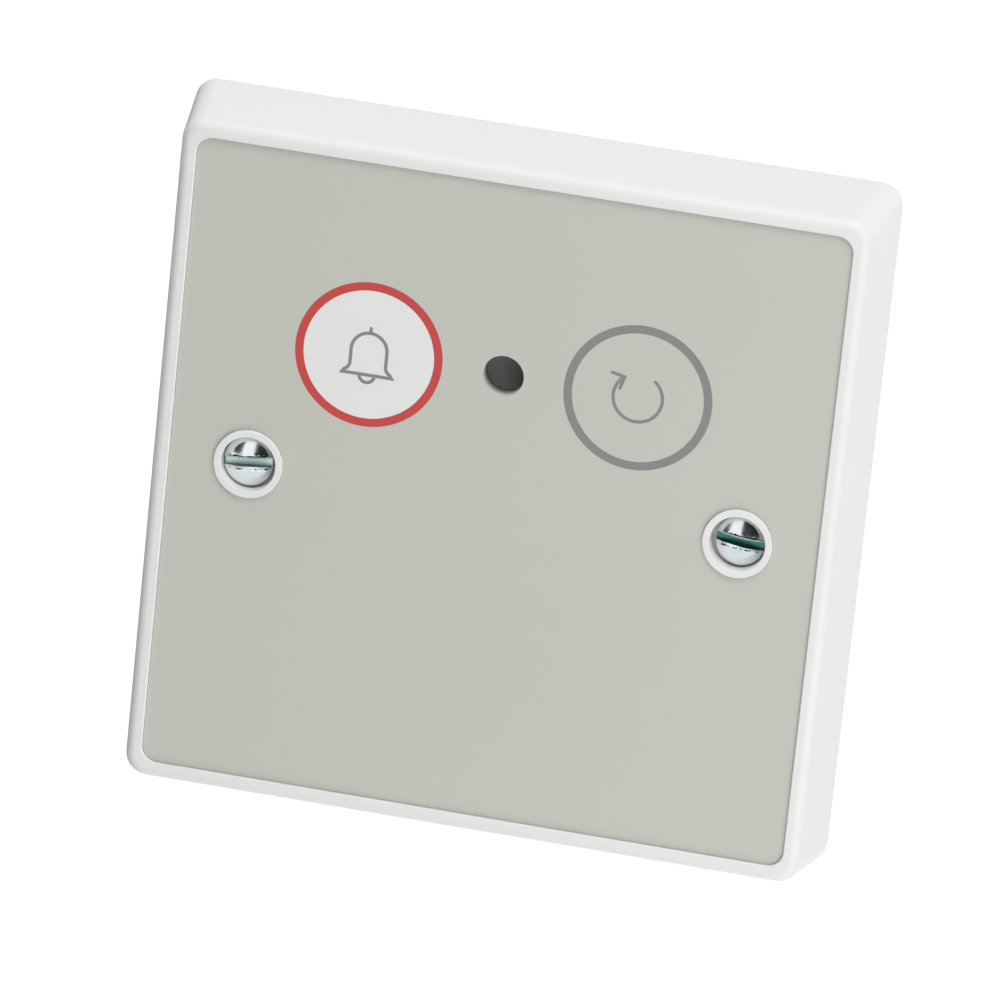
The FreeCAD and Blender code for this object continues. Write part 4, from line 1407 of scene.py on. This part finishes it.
# where each card stands: azimuth, elevation and distance as above. Its size: width, height and lean, in
# degrees
cards = {
    "card_right": {"where": (25, 22, 0.32), "size": (46, 58, -14), "colour": "#2B2C2F"},
    "card_left": {"where": (-40, 24, 0.32), "size": (20, 52, 0), "colour": "#2E3233"},
    "card_side": {"where": (-70, 12, 0.32), "size": (32, 60, 0), "colour": "#A9B7B3"},
    "card_low": {"where": (0, -58, 0.5), "size": (120, 48, 0), "colour": "#E1E9EB"},
    "card_behind": {"where": (205, -20, 0.7), "size": (60, 60, 0), "colour": "#3A3C3D"},
}


def aimedFrom(azimuth, elevation):
    a = math.radians(azimuth)
    e = math.radians(elevation)
    return Vector((math.sin(a) * math.cos(e), -math.cos(a) * math.cos(e), math.sin(e)))


def seenRays(tree):
    # 1 for the rays that show the background: camera, glossy and transmission
    path = addNode(tree, "ShaderNodeLightPath")
    seen = {0: path.outputs["Is Camera Ray"], 1: path.outputs["Is Glossy Ray"]}
    seen = addNode(tree, "ShaderNodeMath", seen, operation="MAXIMUM").outputs[0]
    seen = {0: seen, 1: path.outputs["Is Transmission Ray"]}
    return addNode(tree, "ShaderNodeMath", seen, operation="MAXIMUM").outputs[0]


def makeWorld():
    world = bpy.data.worlds.new("studioWorld")
    world.use_nodes = True
    tree = world.node_tree
    tree.nodes.clear()
    white = hexColour(studio["backdrop"])
    soft = addNode(tree, "ShaderNodeBackground", {"Color": white, "Strength": studio["worldStrength"]})
    plain = addNode(tree, "ShaderNodeBackground", {"Color": white, "Strength": 1.0})
    mixed = addNode(tree, "ShaderNodeMixShader", {0: seenRays(tree), 1: soft.outputs[0], 2: plain.outputs[0]})
    addNode(tree, "ShaderNodeOutputWorld", {"Surface": mixed.outputs[0]})
    bpy.context.scene.world = world


def addSheet(name, across, up, level, material):
    mesh = bpy.data.meshes.new(name)
    corners = [(-across, -up, level), (across, -up, level), (across, up, level), (-across, up, level)]
    mesh.from_pydata(corners, [], [(0, 1, 2, 3)])
    mesh.materials.append(material)
    sheet = bpy.data.objects.new(name, mesh)
    bpy.context.scene.collection.objects.link(sheet)
    return sheet


def makeFloor():
    material, tree = emptyMaterial("paleFloor")
    matt = addNode(tree, "ShaderNodeBsdfDiffuse", {"Color": hexColour(studio["floorColour"])})
    share = {0: seenRays(tree), 1: studio["floorGlow"]}
    share = addNode(tree, "ShaderNodeMath", share, operation="MULTIPLY").outputs[0]
    glow = addNode(tree, "ShaderNodeEmission", {"Color": hexColour(studio["backdrop"]), "Strength": share})
    both = addNode(tree, "ShaderNodeAddShader", {0: matt.outputs[0], 1: glow.outputs[0]})
    addNode(tree, "ShaderNodeOutputMaterial", {"Surface": both.outputs[0]})
    half = studio["floorHalf"]
    floor = addSheet("studio_floor", half, half, -studio["floorDrop"], material)


def addLamp(name, facts):
    # a soft lamp, which lights but isn't mirrored: the metal mirrors the cards
    data = bpy.data.lights.new(name, "AREA")
    data.shape = "DISK"
    data.size = facts["width"]
    data.energy = facts["power"]
    lamp = bpy.data.objects.new(name, data)
    bpy.context.scene.collection.objects.link(lamp)
    towards = aimedFrom(facts["azimuth"], facts["elevation"])
    lamp.location = towards * facts["distance"]
    lamp.rotation_mode = "QUATERNION"
    lamp.rotation_quaternion = (-towards).to_track_quat("-Z", "Y")
    lamp.visible_camera = False
    lamp.visible_glossy = False


def addCard(name, facts):
    # a card that only reflections see
    azimuth, elevation, distance = facts["where"]
    width, height, lean = facts["size"]
    towards = aimedFrom(azimuth, elevation)
    material, tree = emptyMaterial(name)
    glow = addNode(tree, "ShaderNodeEmission", {"Color": hexColour(facts["colour"]), "Strength": 1.0})
    addNode(tree, "ShaderNodeOutputMaterial", {"Surface": glow.outputs[0]})
    across = distance * math.tan(math.radians(width / 2))
    up = distance * math.tan(math.radians(height / 2))
    card = addSheet(name, across, up, 0, material)
    facing = towards.to_track_quat("Z", "Y").to_matrix() @ Matrix.Rotation(math.radians(lean), 3, "Z")
    card.matrix_world = Matrix.Translation(towards * distance) @ facing.to_4x4()
    card.visible_camera = False
    card.visible_diffuse = False
    card.visible_transmission = False
    card.visible_shadow = False


makeWorld()
makeFloor()
for lampName, lampFacts in lamps.items():
    addLamp(lampName, lampFacts)
for cardName, cardFacts in cards.items():
    addCard(cardName, cardFacts)
bpy.context.scene.view_settings.view_transform = "Standard"
print("studio set")
